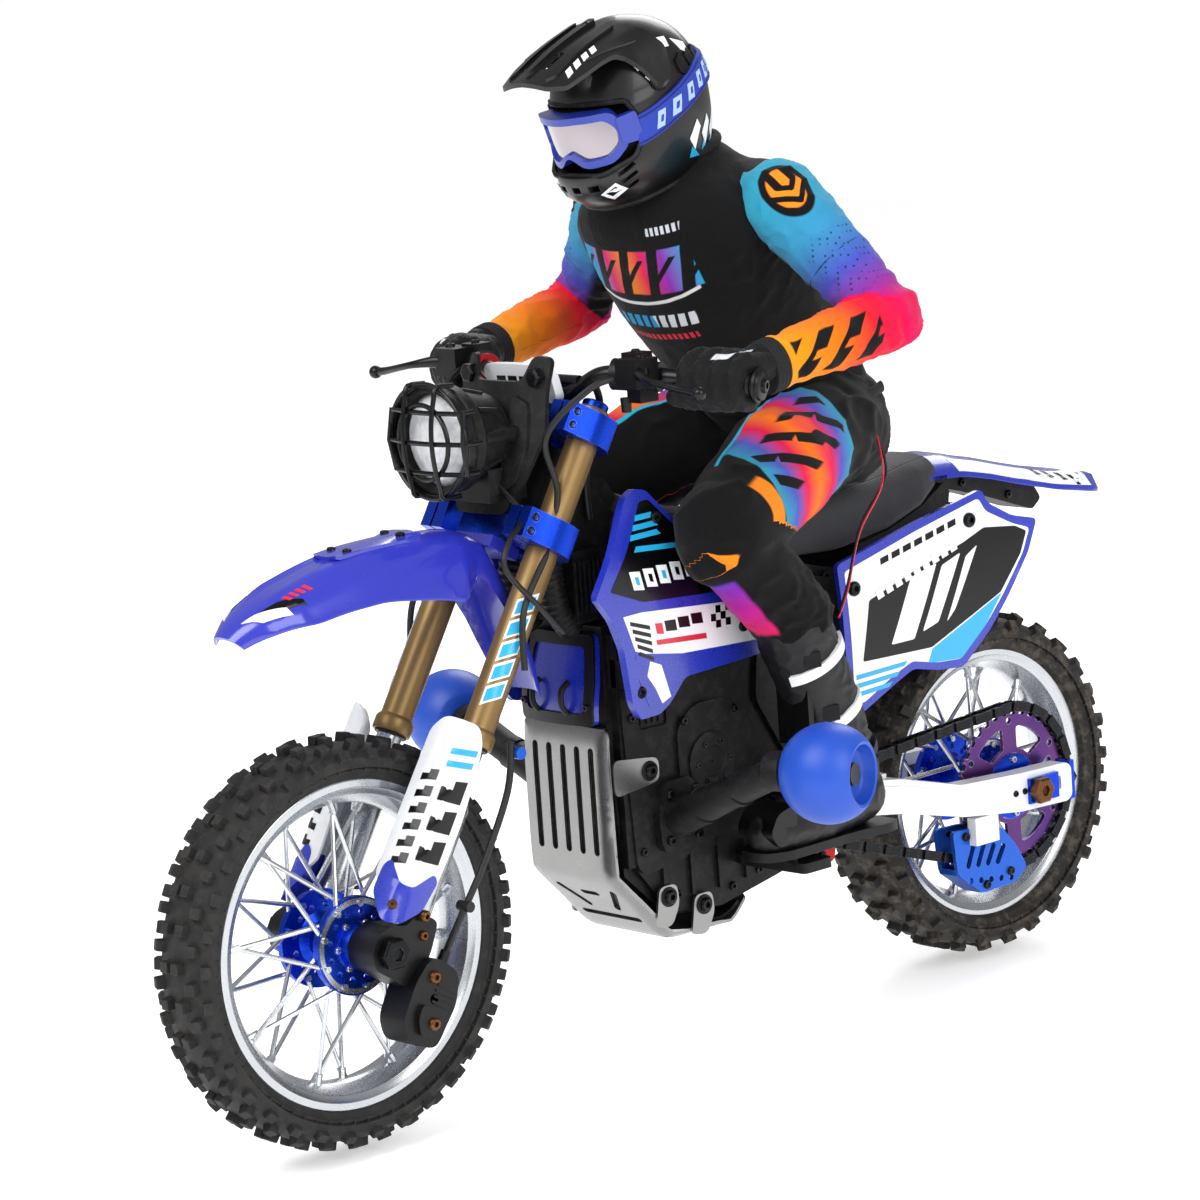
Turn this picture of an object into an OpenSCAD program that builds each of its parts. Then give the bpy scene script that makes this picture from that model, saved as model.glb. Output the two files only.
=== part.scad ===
/* [Wheels] */
// Distance between the wheel axles
wheelbase = 372; // [360:1:384]
// Outer radius of the front tyre
front_tyre_r = 88; // [86:1:90]
// Outer radius of the rear tyre
rear_tyre_r = 82; // [80:1:84]
// Outer radius of the front rim
front_rim_r = 66.5; // [65:0.5:68]
// Outer radius of the rear rim
rear_rim_r = 61; // [60:0.5:62]
// Spokes on each side of a wheel
spokes_per_side = 14; // [10:2:16]

/* [Steering and fork] */
// Angle of the fork from upright
rake = 32; // [30:1:34]
// Half the distance between the fork legs
fork_y = 26; // [26:0.5:27]
// Distance the axle sits ahead of the fork legs
axle_lead = 10; // [9:0.5:11]
// Distance the steering axis sits behind the fork legs
stem_back = 9; // [8:0.5:10]

/* [Drive] */
// Height of the swingarm pivot
pivot_z = 101; // [100:1:102]
// Chain pitch
pitch = 6.35; // [6.35]
// Teeth on the rear sprocket
rear_teeth = 36; // [34:1:37]
// Sideways place of the chain
chain_y = 27.5; // [27:0.5:28]

/* [Body] */
// Half the width of the front of the chassis
chassis_half = 26; // [25:0.5:27]
// Half the distance between the crash rollers
roller_y = 119; // [112:1:124]

/* [Hidden] */
$fn = 40;
// Running clearance between a shaft and its bore
gap = 0.06;
front_x = wheelbase / 2;
rear_x = -wheelbase / 2;
pivot_x = -62;
shaft_x = -46;
shaft_z = 98;
motor_x = -22;
gear_y = -17;
rear_pitch_r = pitch / (2 * sin(180 / rear_teeth));
front_pitch_r = 10.6;
stem_x = -axle_lead - stem_back;
lower_clamp_s = 178;
upper_clamp_s = 226;
clamp_t = 13;
tube_r = 6.8;
slider_r = 7.8;
axle_r = 3;
shoulder = [-42, 52, 368];
elbow = [-64, 99, 316];
roller_at = [18, roller_y, 138];
roller_turn = 20;
shock_top = [-72, 0, 186];
shock_low = [-88, 0, 112];
lever_at = [52, 60, 305];

// Draws its children in the fork's frame: origin on the front axle, Z up the fork, X ahead
module fork_frame() {
    translate([front_x, 0, front_tyre_r]) rotate([0, -rake, 0]) children();
}

// Draws its children on the left and mirrored on the right
module both_sides() {
    children();
    mirror([0, 1, 0]) children();
}

// A shaft along Y, centred on y
module y_rod(r, y0, y1) {
    translate([0, y1, 0]) rotate([90, 0, 0]) cylinder(r = r, h = y1 - y0);
}

// A straight round bar from a to b
module bar(a, b, ra, rb) {
    d = b - a;
    translate(a) rotate([0, acos(d[2] / norm(d)), atan2(d[1], d[0])])
        cylinder(r1 = ra, r2 = rb, h = norm(d));
}

// A round-ended limb from a to b
module limb(a, b, ra, rb) {
    bar(a, b, ra, rb);
    translate(a) sphere(r = ra + 0.6);
    translate(b) sphere(r = rb + 0.6);
}

// A flat plate in the XZ plane, from y0 to y1
module side_plate(points, y0, y1) {
    translate([0, y1, 0]) rotate([90, 0, 0]) linear_extrude(height = y1 - y0) polygon(points);
}

// ---------------------------------------------------------------- chassis

chassis_outline = [
    [50, 196], [51, 150], [47, 88], [24, 66], [-8, 64], [-40, 70], [-78, 78],
    [-84, 120], [-84, 150], [-100, 176], [-172, 206], [-172, 214], [-96, 196], [-60, 206], [20, 206]
];
chassis_hollow = [
    [46, 190], [46, 150], [43, 90], [22, 70], [-8, 68], [-40, 73.5], [-73, 80],
    [-79, 120], [-79, 150], [-79, 196], [-60, 201], [20, 201]
];

module chassis_half_shell() {
    difference() {
        union() {
            side_plate(chassis_outline, 0.05, 21.5);
            translate([-26, 0.05, 92]) cube([74, chassis_half - 0.05, 100]);
            translate([pivot_x, 0, pivot_z]) y_rod(8, 15, 23.8);
            translate([pivot_x, 0, pivot_z]) y_rod(4, 15, 36);
        }
        side_plate(chassis_hollow, -1, 19);
        translate([-22, -1, 95]) cube([66, chassis_half - 2, 93]);
        translate([shock_top[0] - 12, -1, 108]) cube([24, 13, 110]);
        translate([-96, -1, 90]) cube([20, 13, 120]);
        for (p = [[34, 132], [-82, 190], [-150, 205]]) translate([p[0], 0, p[1]]) y_rod(1.2, 10, 30);
    }
}

module chassis_left() {
    color("#202226") difference() {
        chassis_half_shell();
        translate([shaft_x, 0, shaft_z]) y_rod(2.5 + gap, 10, 40);
        translate([shaft_x, 0, shaft_z]) y_rod(16, 21.6, 40);
    }
}

module chassis_right() {
    color("#202226") union() {
        mirror([0, 1, 0]) chassis_half_shell();
        translate([shock_top[0], 0, shock_top[2]]) y_rod(2, -19.5, -0.1);
    }
}

// Head tube and its spine, bolted on top of the chassis
module steering_head() {
    color("#1b1c1f") difference() {
        union() {
            fork_frame() translate([stem_x, 0, lower_clamp_s + clamp_t + 0.2])
                cylinder(r = 8, h = upper_clamp_s - lower_clamp_s - clamp_t - 0.4);
            side_plate([[58, 240], [50, 262], [28, 254], [6, 218], [6, 206.2], [46, 206.2], [46, 226]], -6, 6);
            translate([4, -18, 206.2]) cube([34, 36, 4]);
        }
        fork_frame() translate([stem_x, 0, 150]) cylinder(r = 4 + gap, h = 120);
    }
}

// Folded steel plate under the nose, with slots and side tabs
module skid_plate() {
    color("#b9bbbd") difference() {
        union() {
            side_plate([
                [53.5, 153], [56, 153], [57.5, 90], [27, 57], [-9, 57], [-24.5, 65],
                [-23.5, 66.4], [-8.2, 59.4], [26, 59.4], [55, 91]
            ], -chassis_half - 1, chassis_half + 1);
            for (tab = [[34, 132, 20], [30, 78, 12], [8, 69, 12]]) both_sides() {
                side_plate([
                    [tab[0] - 5, tab[1] - 5], [tab[0] + tab[2], tab[1] - 5],
                    [tab[0] + tab[2], tab[1] + 5], [tab[0] - 5, tab[1] + 5]
                ], chassis_half + 0.2, chassis_half + 1.2);
                side_plate([
                    [tab[0] - 4, tab[1] - 13], [tab[0] + 4, tab[1] - 13],
                    [tab[0] + 4, tab[1] + 4], [tab[0] - 4, tab[1] + 4]
                ], chassis_half + 0.2, chassis_half + 1.2);
            }
        }
        for (i = [-2:2]) translate([40, i * 9.4 - 1.6, 100]) cube([30, 3.2, 40]);
        for (tab = [[34, 132], [30, 78], [8, 69]]) both_sides()
            translate([tab[0], 0, tab[1]]) y_rod(1.7, 20, 40);
    }
}

module front_hatch() {
    color("#1d3fb4") difference() {
        side_plate([[51, 158], [61, 155], [62, 172], [58, 192], [51, 194]], -22, 22);
        side_plate([[40, 160], [58, 158], [58.5, 172], [55, 189], [40, 191]], -19.5, 19.5);
    }
}

// Outline of one shroud, with the front wing raised
shroud_outline = [
    [74, 214], [66, 202], [60, 190], [54, 163], [48, 158], [36, 158], [20, 171], [-30, 171],
    [-36, 196], [-8, 200], [8, 226], [37, 253], [46, 251], [60, 232]
];

module shrouds() {
    color("#2a36c8") both_sides() difference() {
        translate([0, 32.2, 0]) rotate([0, 0, 7]) side_plate(shroud_outline, 0, 2.6);
        translate([30, 0, 240]) y_rod(1.7, 20, 60);
    }
    color("#17181b") both_sides() translate([-4, 21.6, 196]) cube([30, 10.2, 8]);
}

module seat() {
    color("#3a3b3f") difference() {
        side_plate([
            [12, 211], [28, 240], [22, 246], [-2, 236], [-40, 230], [-100, 229], [-156, 236],
            [-158, 232], [-150, 218], [-98, 209.2], [-60, 208], [-22, 208]
        ], -18, 18);
        translate([shock_top[0], 0, 200]) cube([30, 26, 30], center = true);
        translate([-24, -8, 200]) cube([80, 16, 60]);
    }
}

panel_outline = [
    [-76, 202], [-161, 223], [-163, 217], [-191, 206], [-185, 192], [-160, 160],
    [-144, 146], [-115, 150], [-85, 135], [-79, 137]
];

module side_panels() {
    color("#2a36c8") both_sides() difference() {
        translate([0, 22, 0]) rotate([0, 0, -6]) side_plate(panel_outline, 2, 4.4);
        for (p = [[-82, 190], [-150, 205]]) translate([p[0], 0, p[1]]) y_rod(1.7, 10, 80);
    }
}

module rear_fender() {
    color("#2f46d8") difference() {
        union() {
            side_plate([
                [-158.6, 226], [-172, 231], [-206, 223], [-235, 214], [-272.9, 208.4], [-273.9, 212.3],
                [-236, 218], [-206, 227], [-172, 235], [-158.6, 230.6]
            ], -22, 22);
            side_plate([
                [-158, 222], [-176, 226], [-232, 203], [-240, 208], [-236, 214], [-206, 223.2],
                [-172, 231.2], [-158, 226.2]
            ], -10, 10);
        }
        translate([-262, 26, 180]) rotate([0, 0, 14]) cube([70, 20, 60], center = true);
        translate([-262, -26, 180]) rotate([0, 0, -14]) cube([70, 20, 60], center = true);
    }
}

// Battery, speed controller, receiver and steering servo as separate solids
module electronics() {
    color("#3d4a5c") translate([-20, -17, 124]) cube([60, 34, 32]);
    color("#15171a") translate([-10, -14, 160]) cube([40, 28, 16]);
    color("#26282c") translate([-40, -10, 178]) cube([26, 20, 12]);
    color("#15171a") translate([0, -9, 178]) cube([38, 18, 13]);
}

module drive_motor() {
    color("#8b8e94") difference() {
        translate([motor_x, 0, shaft_z]) y_rod(13.5, -11, 18);
        translate([motor_x, 0, shaft_z]) y_rod(1.6 + gap, -12, 19);
    }
}

module body_screws() {
    color("#101113") {
        for (tab = [[34, 132], [30, 78], [8, 69]]) both_sides()
            translate([tab[0], chassis_half + 1.3, tab[1]]) rotate([-90, 0, 0]) cylinder(r = 3, h = 1.8);
        for (p = [[-82, 35.8, 190], [-150, 43.2, 205]]) both_sides()
            translate(p) rotate([-90, 0, 6]) cylinder(r = 2.8, h = 1.4);
    }
}

// Arms from the chassis sides out to the rollers, each with a foot peg below it
module crash_bars() {
    color("#16171a") both_sides() {
        difference() {
            union() {
                bar([20, chassis_half + 2.4, 111], [24, 96, 138], 6.5, 6);
                translate([10, chassis_half + 0.2, 98]) cube([18, 5, 26]);
                translate(roller_at) rotate([0, 0, roller_turn]) y_rod(7, -28, -19);
            }
            translate(roller_at) rotate([0, 0, roller_turn]) y_rod(2.5, -40, 0);
        }
        translate(roller_at) rotate([0, 0, roller_turn]) y_rod(2.5 - gap, -27, 13);
        difference() {
            translate([-31, 21.7, 82]) cube([17, 48, 7]);
            translate([-32, 46, 80]) cube([19, 30, 4]);
        }
    }
}

// ---------------------------------------------------------------- rider

// Everything above the waist line, which leans forward with the rider
module above_waist(shift) {
    translate([-100, 0, 282 + shift]) rotate([0, 12, 0]) translate([-150, -150, 0]) cube([400, 300, 300]);
}

module rider_jersey() {
    color("#17181c") difference() {
        intersection() {
            union() {
                limb([-100, 0, 276], [-40, 0, 346], 28, 33);
                for (s = [-1, 1]) limb([-92, 14 * s, 276], [-40, 17 * s, 356], 25, 25);
                bar([-44, 0, 352], [-22, 0, 381], 24, 13);
            }
            above_waist(0.4);
        }
        translate([-5, 0, 406]) sphere(r = 47);
        for (s = [-1, 1]) translate([shoulder[0], s * (shoulder[1] + 4), shoulder[2] - 4]) sphere(r = 27);
    }
}

module rider_pants() {
    color("#15161a") difference() {
        union() {
            translate([-106, 0, 261]) sphere(r = 29);
            for (s = [-1, 1]) {
                limb([-98, 17 * s, 262], [4, 59 * s, 227], 25, 20);
                limb([4, 59 * s, 227], [-24, 56 * s, 194], 19, 14.5);
            }
        }
        above_waist(0);
        translate([-170, -18.4, 180]) cube([230, 36.8, 57.4]);
        translate([-60, -22, 150]) cube([120, 44, 100]);
        translate([-80, -80, 100]) cube([120, 160, 88]);
        both_sides() translate([0, 12, 0]) rotate([0, 0, 7]) side_plate(shroud_outline, 0, 23.2);
    }
}

module rider_boots() {
    color("#18191c") both_sides() difference() {
        union() {
            bar([-27, 56, 187], [-52, 56, 122], 15.5, 12);
            limb([-56, 56, 112], [-8, 58, 102], 13, 10.5);
        }
        translate([-100, 30, 60]) cube([120, 50, 30.5]);
        translate([-110, 20, 60]) cube([140, 23.5, 60]);
        translate([-40, 30, 187.5]) cube([60, 60, 20]);
    }
}

module rider_head() {
    color("#c89d7c") union() {
        bar([-24, 0, 377], [-8, 0, 392], 9, 9);
        translate([-2, 0, 406]) sphere(r = 24);
        translate([8, 0, 400]) sphere(r = 14.5);
    }
}

helmet_profile = [
    [28, 384], [35, 392], [38, 402], [34, 424], [22, 438], [-4, 446], [-28, 438],
    [-42, 420], [-44, 402], [-38, 388], [-20, 378], [16, 368], [34, 372]
];

// Full-face shell with a chin bar, an eye opening and a ridged peak
module helmet() {
    color("#1a1b1e") difference() {
        union() {
            translate([-3, 0, 407]) sphere(r = 39);
            intersection() {
                side_plate(helmet_profile, -27, 27);
                translate([-4, 0, 404]) sphere(r = 48);
            }
            side_plate([[22, 436], [66, 424], [68, 420.5], [44, 420], [30, 424]], -21, 21);
            for (s = [-1, 0, 1]) side_plate([[10, 441], [30, 440], [62, 427], [60, 423], [16, 434]], s * 14 - 3, s * 14 + 3);
        }
        translate([-2, 0, 404]) sphere(r = 29);
        translate([4, -24, 395]) cube([60, 48, 24]);
        translate([-20, 0, 350]) cylinder(r = 19, h = 40);
        translate([-80, 33, 300]) cube([200, 40, 200]);
        translate([-80, -73, 300]) cube([200, 40, 200]);
    }
}

module goggles() {
    color("#2743c9") difference() {
        intersection() {
            translate([0, 0, 407]) sphere(r = 42);
            translate([14, -23.6, 395.4]) cube([60, 47.2, 23.2]);
        }
        translate([-2, 0, 404]) sphere(r = 31);
    }
}

module upper_arm(s) {
    top = [shoulder[0], s * shoulder[1], shoulder[2]];
    joint = [elbow[0], s * elbow[1], elbow[2]];
    difference() {
        limb(top, top + (joint - top) * 0.62, 17, 12);
        translate(joint) sphere(r = 25);
    }
}

module forearm(s) {
    bar([elbow[0] - 4, s * (elbow[1] + 0.6), elbow[2] + 0.8], [elbow[0] + 56, s * (elbow[1] - 8.4), elbow[2] - 10.9], 12, 10);
}

module upper_arm_left() { color("#23a7c9") upper_arm(1); }
module upper_arm_right() { color("#23a7c9") upper_arm(-1); }
module forearm_left() { color("#e8417a") forearm(1); }
module forearm_right() { color("#e8417a") forearm(-1); }

// ---------------------------------------------------------------- steering

module clamp_plate(front) {
    difference() {
        union() {
            both_sides() translate([-axle_lead, fork_y, 0]) cylinder(r = 10.5, h = clamp_t);
            translate([stem_x, 0, 0]) cylinder(r = 9, h = clamp_t);
            translate([stem_x - 2, -fork_y, 1]) cube([13, 2 * fork_y, clamp_t - 2]);
            both_sides() translate([-axle_lead + front, fork_y - 4, 1.5]) cube([9, 8, clamp_t - 3]);
        }
        both_sides() translate([-axle_lead, fork_y, -1]) cylinder(r = tube_r + gap, h = clamp_t + 2);
        both_sides() translate([-axle_lead + 2, fork_y - 0.5, -1]) cube([20, 1, clamp_t + 2]);
        for (z = [3.5, clamp_t - 3.5]) both_sides()
            translate([-axle_lead + front + 4.5, 0, z]) y_rod(1.3, fork_y - 6, fork_y + 6);
    }
}

module lower_clamp() {
    color("#1f4fe0") fork_frame() {
        translate([0, 0, lower_clamp_s]) clamp_plate(8);
        translate([stem_x, 0, lower_clamp_s + 1]) cylinder(r = 4, h = upper_clamp_s + clamp_t - lower_clamp_s);
    }
}

module upper_clamp() {
    color("#1f4fe0") fork_frame() translate([0, 0, upper_clamp_s]) difference() {
        clamp_plate(7);
        translate([stem_x, 0, -1]) cylinder(r = 4 + gap, h = clamp_t + 2);
    }
}

module fork_tubes() {
    color("#9a7440") fork_frame() both_sides() translate([-axle_lead, fork_y, 0]) difference() {
        union() {
            translate([0, 0, 94]) cylinder(r = tube_r, h = 148);
            translate([0, 0, 240]) cylinder(r = 5.6, h = 5);
        }
        translate([0, 0, 60]) cylinder(r = 5.4 + gap, h = 160);
    }
}

// Centre line of the left half of the handlebar
bar_points = [[56, 0, 294], [56, 17, 294], [52, 36, 303.5], [22, 99, 297.5]];

module handlebar() {
    color("#141518") {
        both_sides() {
            bar(bar_points[0] - [0, 0.5, 0], bar_points[1], 3.6, 3.6);
            bar(bar_points[1], bar_points[2], 3.6, 3.6);
            bar(bar_points[2], bar_points[3], 3.6, 3.6);
            translate(bar_points[1]) sphere(r = 3.9);
            translate(bar_points[2]) sphere(r = 3.9);
            difference() {
                bar([34.5, 72, 299.9], bar_points[3], 5.2, 5.2);
                translate([22, 99, 297.5]) sphere(r = 2);
            }
            translate([50, 9, 287.4]) cube([12, 7, 10.6]);
        }
    }
}

module bar_pad() {
    color("#e8eaec") difference() {
        translate([62.6, -19, 296]) rotate([0, 18, 0]) cube([5, 38, 14]);
        translate([56, 0, 294]) y_rod(4.4, -24, 24);
    }
}

module bar_controls() {
    color("#17181b") both_sides() difference() {
        union() {
            bar([49, 43, 302.8], [41, 60, 301.2], 7, 6.4);
            translate([lever_at[0] - 5, lever_at[1] - 8, lever_at[2] - 7]) cube([10, 12, 11]);
            translate([40, 48, 297]) cube([10, 8, 10]);
        }
        bar(bar_points[2], bar_points[3], 3.6 + gap, 3.6 + gap);
        translate([lever_at[0] - 4, lever_at[1] - 4.4, lever_at[2] - 2.6]) cube([14, 20, 5.2]);
        translate([lever_at[0], lever_at[1], 280]) cylinder(r = 1.5 + gap, h = 40);
    }
}

module lever(s) {
    difference() {
        union() {
            translate([lever_at[0], s * lever_at[1], lever_at[2] - 2.3]) cylinder(r = 3.2, h = 4.6);
            bar(
                [lever_at[0] + 2, s * lever_at[1], lever_at[2]],
                [lever_at[0] + 10, s * (lever_at[1] + 14), lever_at[2] - 1], 2, 1.8
            );
            bar(
                [lever_at[0] + 9.6, s * (lever_at[1] + 13), lever_at[2] - 1],
                [lever_at[0] + 8, s * (lever_at[1] + 42), lever_at[2] - 5], 1.8, 1.5
            );
            translate([lever_at[0] + 8, s * (lever_at[1] + 42), lever_at[2] - 5]) sphere(r = 2.6);
        }
        translate([lever_at[0], s * lever_at[1], 280]) cylinder(r = 1.5, h = 40);
    }
    translate([lever_at[0], s * lever_at[1], lever_at[2] - 6]) cylinder(r = 1.5 - gap / 2, h = 9);
}

module clutch_lever() { color("#141518") lever(1); }
module brake_lever() { color("#141518") lever(-1); }

lamp = [110, 0, 283];

// Lamp bowl with the mask plate and its two ears, which bolt to the clamps
module headlight_bowl() {
    color("#16171a") difference() {
        union() {
            translate(lamp - [26, 0, 0]) rotate([0, 90, 0]) cylinder(r1 = 17, r2 = 22, h = 18);
            translate(lamp - [8, 0, 0]) rotate([0, 90, 0]) cylinder(r = 22, h = 9);
            side_plate([[78, 308], [92, 300], [100, 262], [92, 256], [84, 276], [74, 298]], -24, 24);
            both_sides() translate([0, 20, 0]) side_plate([[74, 297], [80, 311], [88, 310], [94, 298], [88, 290]], -4, 4);
        }
        translate(lamp - [20, 0, 0]) rotate([0, 90, 0]) cylinder(r1 = 14, r2 = 19.5, h = 22);
        both_sides() fork_frame() translate([-axle_lead, fork_y, 120]) cylinder(r = 8.2, h = 140);
        fork_frame() translate([-60, -60, upper_clamp_s - 20]) cube([61.5, 120, 40]);
        translate([60, -18, 286]) rotate([0, 18, 0]) cube([9, 36, 30]);
    }
}

module headlight_lens() {
    color("#dfe3e6") translate(lamp - [2, 0, 0]) rotate([0, 90, 0]) difference() {
        cylinder(r = 18.4, h = 4);
        translate([0, 0, -36]) sphere(r = 37);
    }
}

// Wire grille: three bars across and two down, on a ring
module headlight_cage() {
    color("#0f1012") translate(lamp + [1.2, 0, 0]) {
        rotate([0, 90, 0]) difference() {
            cylinder(r = 22, h = 2);
            translate([0, 0, -1]) cylinder(r = 20, h = 4);
        }
        for (z = [-11, 0, 11]) translate([1.6, -sqrt(pow(24, 2) - z * z), z - 0.8])
            cube([6.4, 2 * sqrt(pow(24, 2) - z * z), 1.6]);
        for (y = [-7.5, 7.5]) translate([4, y - 0.8, -21]) cube([5, 1.6, 42]);
        for (y = [-21, 19.4]) translate([1.6, y, -12]) cube([5, 1.6, 24]);
    }
}

// Arched mudguard over the tyre, narrow where it passes between the fork legs
module front_fender() {
    color("#3a3fd0") difference() {
        union() {
            side_plate([
                [231, 218], [232, 222], [212, 234], [194, 240], [168, 246], [140, 248], [112, 247],
                [96, 243], [96, 236], [113, 236], [150, 237], [182, 231], [206, 222], [225, 214]
            ], -20, 20);
            side_plate([
                [110, 240], [96, 243], [90, 226], [74, 180], [84, 173], [100, 199], [112, 222]
            ], -16, 16);
        }
        side_plate([
            [224, 212], [206, 226], [182, 235], [150, 240.5], [114, 240], [106, 222], [86, 186], [130, 150], [224, 150]
        ], -16.5, 16.5);
        side_plate([[84, 194], [100, 236], [110, 236], [90, 180]], -13, 13);
        translate([222, 20, 190]) rotate([0, 0, -10]) cube([60, 8, 80], center = true);
        translate([222, -20, 190]) rotate([0, 0, 10]) cube([60, 8, 80], center = true);
        fork_frame() translate([-60, -40, lower_clamp_s - 0.3]) cube([71, 80, 40]);
        both_sides() fork_frame() translate([-axle_lead, fork_y, 90]) cylinder(r = 9.5, h = 140);
    }
}

// Hands closed round the grips
module gloves() {
    color("#141519") both_sides() {
        bar([9, 88, 303], [26, 86, 303], 8, 10);
        translate([31, 86, 301]) sphere(r = 12.4);
    }
}

// ---------------------------------------------------------------- fork legs that slide

module fork_sliders() {
    color("#8a6838") fork_frame() both_sides() translate([-axle_lead, fork_y, 0]) {
        difference() {
            union() {
                translate([0, 0, -4]) cylinder(r = slider_r, h = 73);
                translate([0, 0, 60]) cylinder(r = 5.4, h = 90);
                translate([-6, -8, -9]) cube([23, 14.5, 17]);
            }
            translate([axle_lead, 0, 0]) y_rod(axle_r + gap, -20, 20);
        }
    }
}

module fork_guards() {
    color("#f0f1f3") fork_frame() both_sides() difference() {
        union() {
            translate([-axle_lead - 13, fork_y - 9, 22]) cube([30, 19, 76]);
            translate([-axle_lead - 11, fork_y - 9, 12]) cube([26, 18, 12]);
        }
        translate([-axle_lead - 11, fork_y - 11, 10]) cube([26, 19, 90]);
        translate([-axle_lead, fork_y, 0]) cylinder(r = slider_r + 0.3, h = 120);
        translate([-axle_lead - 14, fork_y - 12, 60]) cube([8, 16, 60]);
        translate([-30, 0, 22]) cube([60, fork_y - 8, 90]);
    }
}

module brake_caliper() {
    color("#141518") fork_frame() difference() {
        translate([-34, fork_y - 4, -26]) cube([17.4, 15, 30]);
        translate([-axle_lead, fork_y, -30]) cylinder(r = slider_r + 0.3, h = 60);
        translate([-34, fork_y - 1, -30]) cube([12, 3, 20]);
    }
}

module front_axle() {
    color("#2a2b2e") translate([front_x, 0, front_tyre_r]) {
        y_rod(axle_r, -34, 36);
        y_rod(5, 32.7, 38);
        y_rod(5, -37, -32.7);
    }
}

// ---------------------------------------------------------------- wheels

module hub(half, flange_r) {
    difference() {
        union() {
            y_rod(7, -half, half);
            both_sides() y_rod(flange_r, half - 6.5, half - 4);
            both_sides() y_rod(flange_r - 4, half - 4, half - 1.2);
        }
        y_rod(axle_r + gap, -half - 1, half + 1);
        for (k = [0:7]) rotate([0, k * 45, 0]) translate([flange_r - 4.6, 0, 0]) y_rod(1.1, -half, half);
    }
}

module rim(r, half) {
    rotate([90, 0, 0]) rotate_extrude($fn = 72) polygon([
        [r, half], [r, half - 2], [r - 3, half - 2.5], [r - 5, 4], [r - 5, -4], [r - 3, 2.5 - half],
        [r, 2 - half], [r, -half], [r - 5, -half], [r - 9, -4], [r - 9, 4], [r - 5, half]
    ]);
}

// One set of crossed spokes on both sides of a hub
module spokes(flange_r, flange_y, rim_r) {
    for (side = [-1, 1]) for (k = [0:spokes_per_side - 1]) for (lean = [-1, 1]) {
        a = (k + 0.25 * side) * 360 / spokes_per_side;
        b = a + lean * 38;
        y0 = side * (flange_y + lean * 1.1);
        bar(
            [flange_r * cos(a + lean * 4), y0, flange_r * sin(a + lean * 4)],
            [rim_r * cos(b), side * (3 - lean * 0.4), rim_r * sin(b)], 0.85, 0.85
        );
    }
}

// Carcass with three rings of square knobs
module tyre(outer_r, rim_r, half, knobs) {
    rotate([90, 0, 0]) rotate_extrude($fn = 72) polygon([
        [rim_r + 0.1, 6], [rim_r + 0.1, -6], [rim_r + 1, -half + 5], [rim_r + 7, -half + 2],
        [outer_r - 10, -half + 2.2], [outer_r - 5.2, -half + 6], [outer_r - 4, 0],
        [outer_r - 5.2, half - 6], [outer_r - 10, half - 2.2], [rim_r + 7, half - 2], [rim_r + 1, half - 5]
    ]);
    for (row = [[-1, 0, 0], [0, 0.5, 3.4], [1, 0, 0]]) for (k = [0:knobs - 1])
        rotate([0, (k + row[1]) * 360 / knobs, 0])
            translate([-2.6, row[0] * (half - 4.5) - 3.2, outer_r - 10 + row[2]])
                cube([5.2, 6.4, 10 - row[2] - abs(row[0]) * 3.2]);
}

module at_front_axle() { translate([front_x, 0, front_tyre_r]) children(); }
module at_rear_axle() { translate([rear_x, 0, rear_tyre_r]) children(); }

module front_hub() { color("#1f3fc4") at_front_axle() hub(17, 17); }
module front_rim() { color("#c9ccd0") at_front_axle() rim(front_rim_r, 10); }
module front_spokes() { color("#d5d7da") at_front_axle() spokes(15, 11, front_rim_r - 8); }
module front_tyre() { color("#1d1d1e") at_front_axle() tyre(front_tyre_r, front_rim_r, 16, 36); }
module rear_hub() { color("#1f3fc4") at_rear_axle() hub(20, 17); }
module rear_rim() { color("#c9ccd0") at_rear_axle() rim(rear_rim_r, 13); }
module rear_spokes() { color("#d5d7da") at_rear_axle() spokes(15, 13, rear_rim_r - 8); }
module rear_tyre() { color("#2a241f") at_rear_axle() tyre(rear_tyre_r, rear_rim_r, 21, 32); }

// Toothed ring with windows, bolted to the hub
module rear_sprocket() {
    tip_r = rear_pitch_r - 2.0;
    root_r = rear_pitch_r - 3.6;
    color("#8d6f96") at_rear_axle() translate([0, chain_y, 0]) difference() {
        union() {
            rotate([90, 0, 0]) translate([0, 0, -0.9]) linear_extrude(height = 1.8) polygon([
                for (k = [0:rear_teeth - 1]) for (c = [[-0.3, 0], [-0.16, 1], [0.16, 1], [0.3, 0]])
                    let (a = (k + c[0]) * 360 / rear_teeth, r = root_r + c[1] * (tip_r - root_r))
                        [r * cos(a), r * sin(a)]
            ]);
            y_rod(9, -7.2, 0.5);
        }
        y_rod(axle_r + gap, -10, 10);
        for (k = [0:5]) rotate([0, k * 60, 0]) translate([21.5, 0, 0]) y_rod(6.4, -4, 4);
        for (k = [0:5]) rotate([0, k * 60 + 30, 0]) translate([13.4, 0, 0]) y_rod(2.2, -4, 4);
    }
}

// ---------------------------------------------------------------- levers, rollers

module roller() {
    rotate([-90, 0, 0]) rotate_extrude($fn = 64) polygon(concat(
        [[2.5 + gap, -17.5], [12, -17.5]],
        [for (a = [-56:8:40]) [21 * cos(a), 21 * sin(a)]],
        [[13, 16.5], [11, 10], [2.5 + gap, 9]]
    ));
}

module roller_left() { color("#2068e0") translate(roller_at) rotate([0, 0, roller_turn]) roller(); }
module roller_right() { color("#2068e0") mirror([0, 1, 0]) translate(roller_at) rotate([0, 0, roller_turn]) roller(); }

// ---------------------------------------------------------------- swingarm

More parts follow.
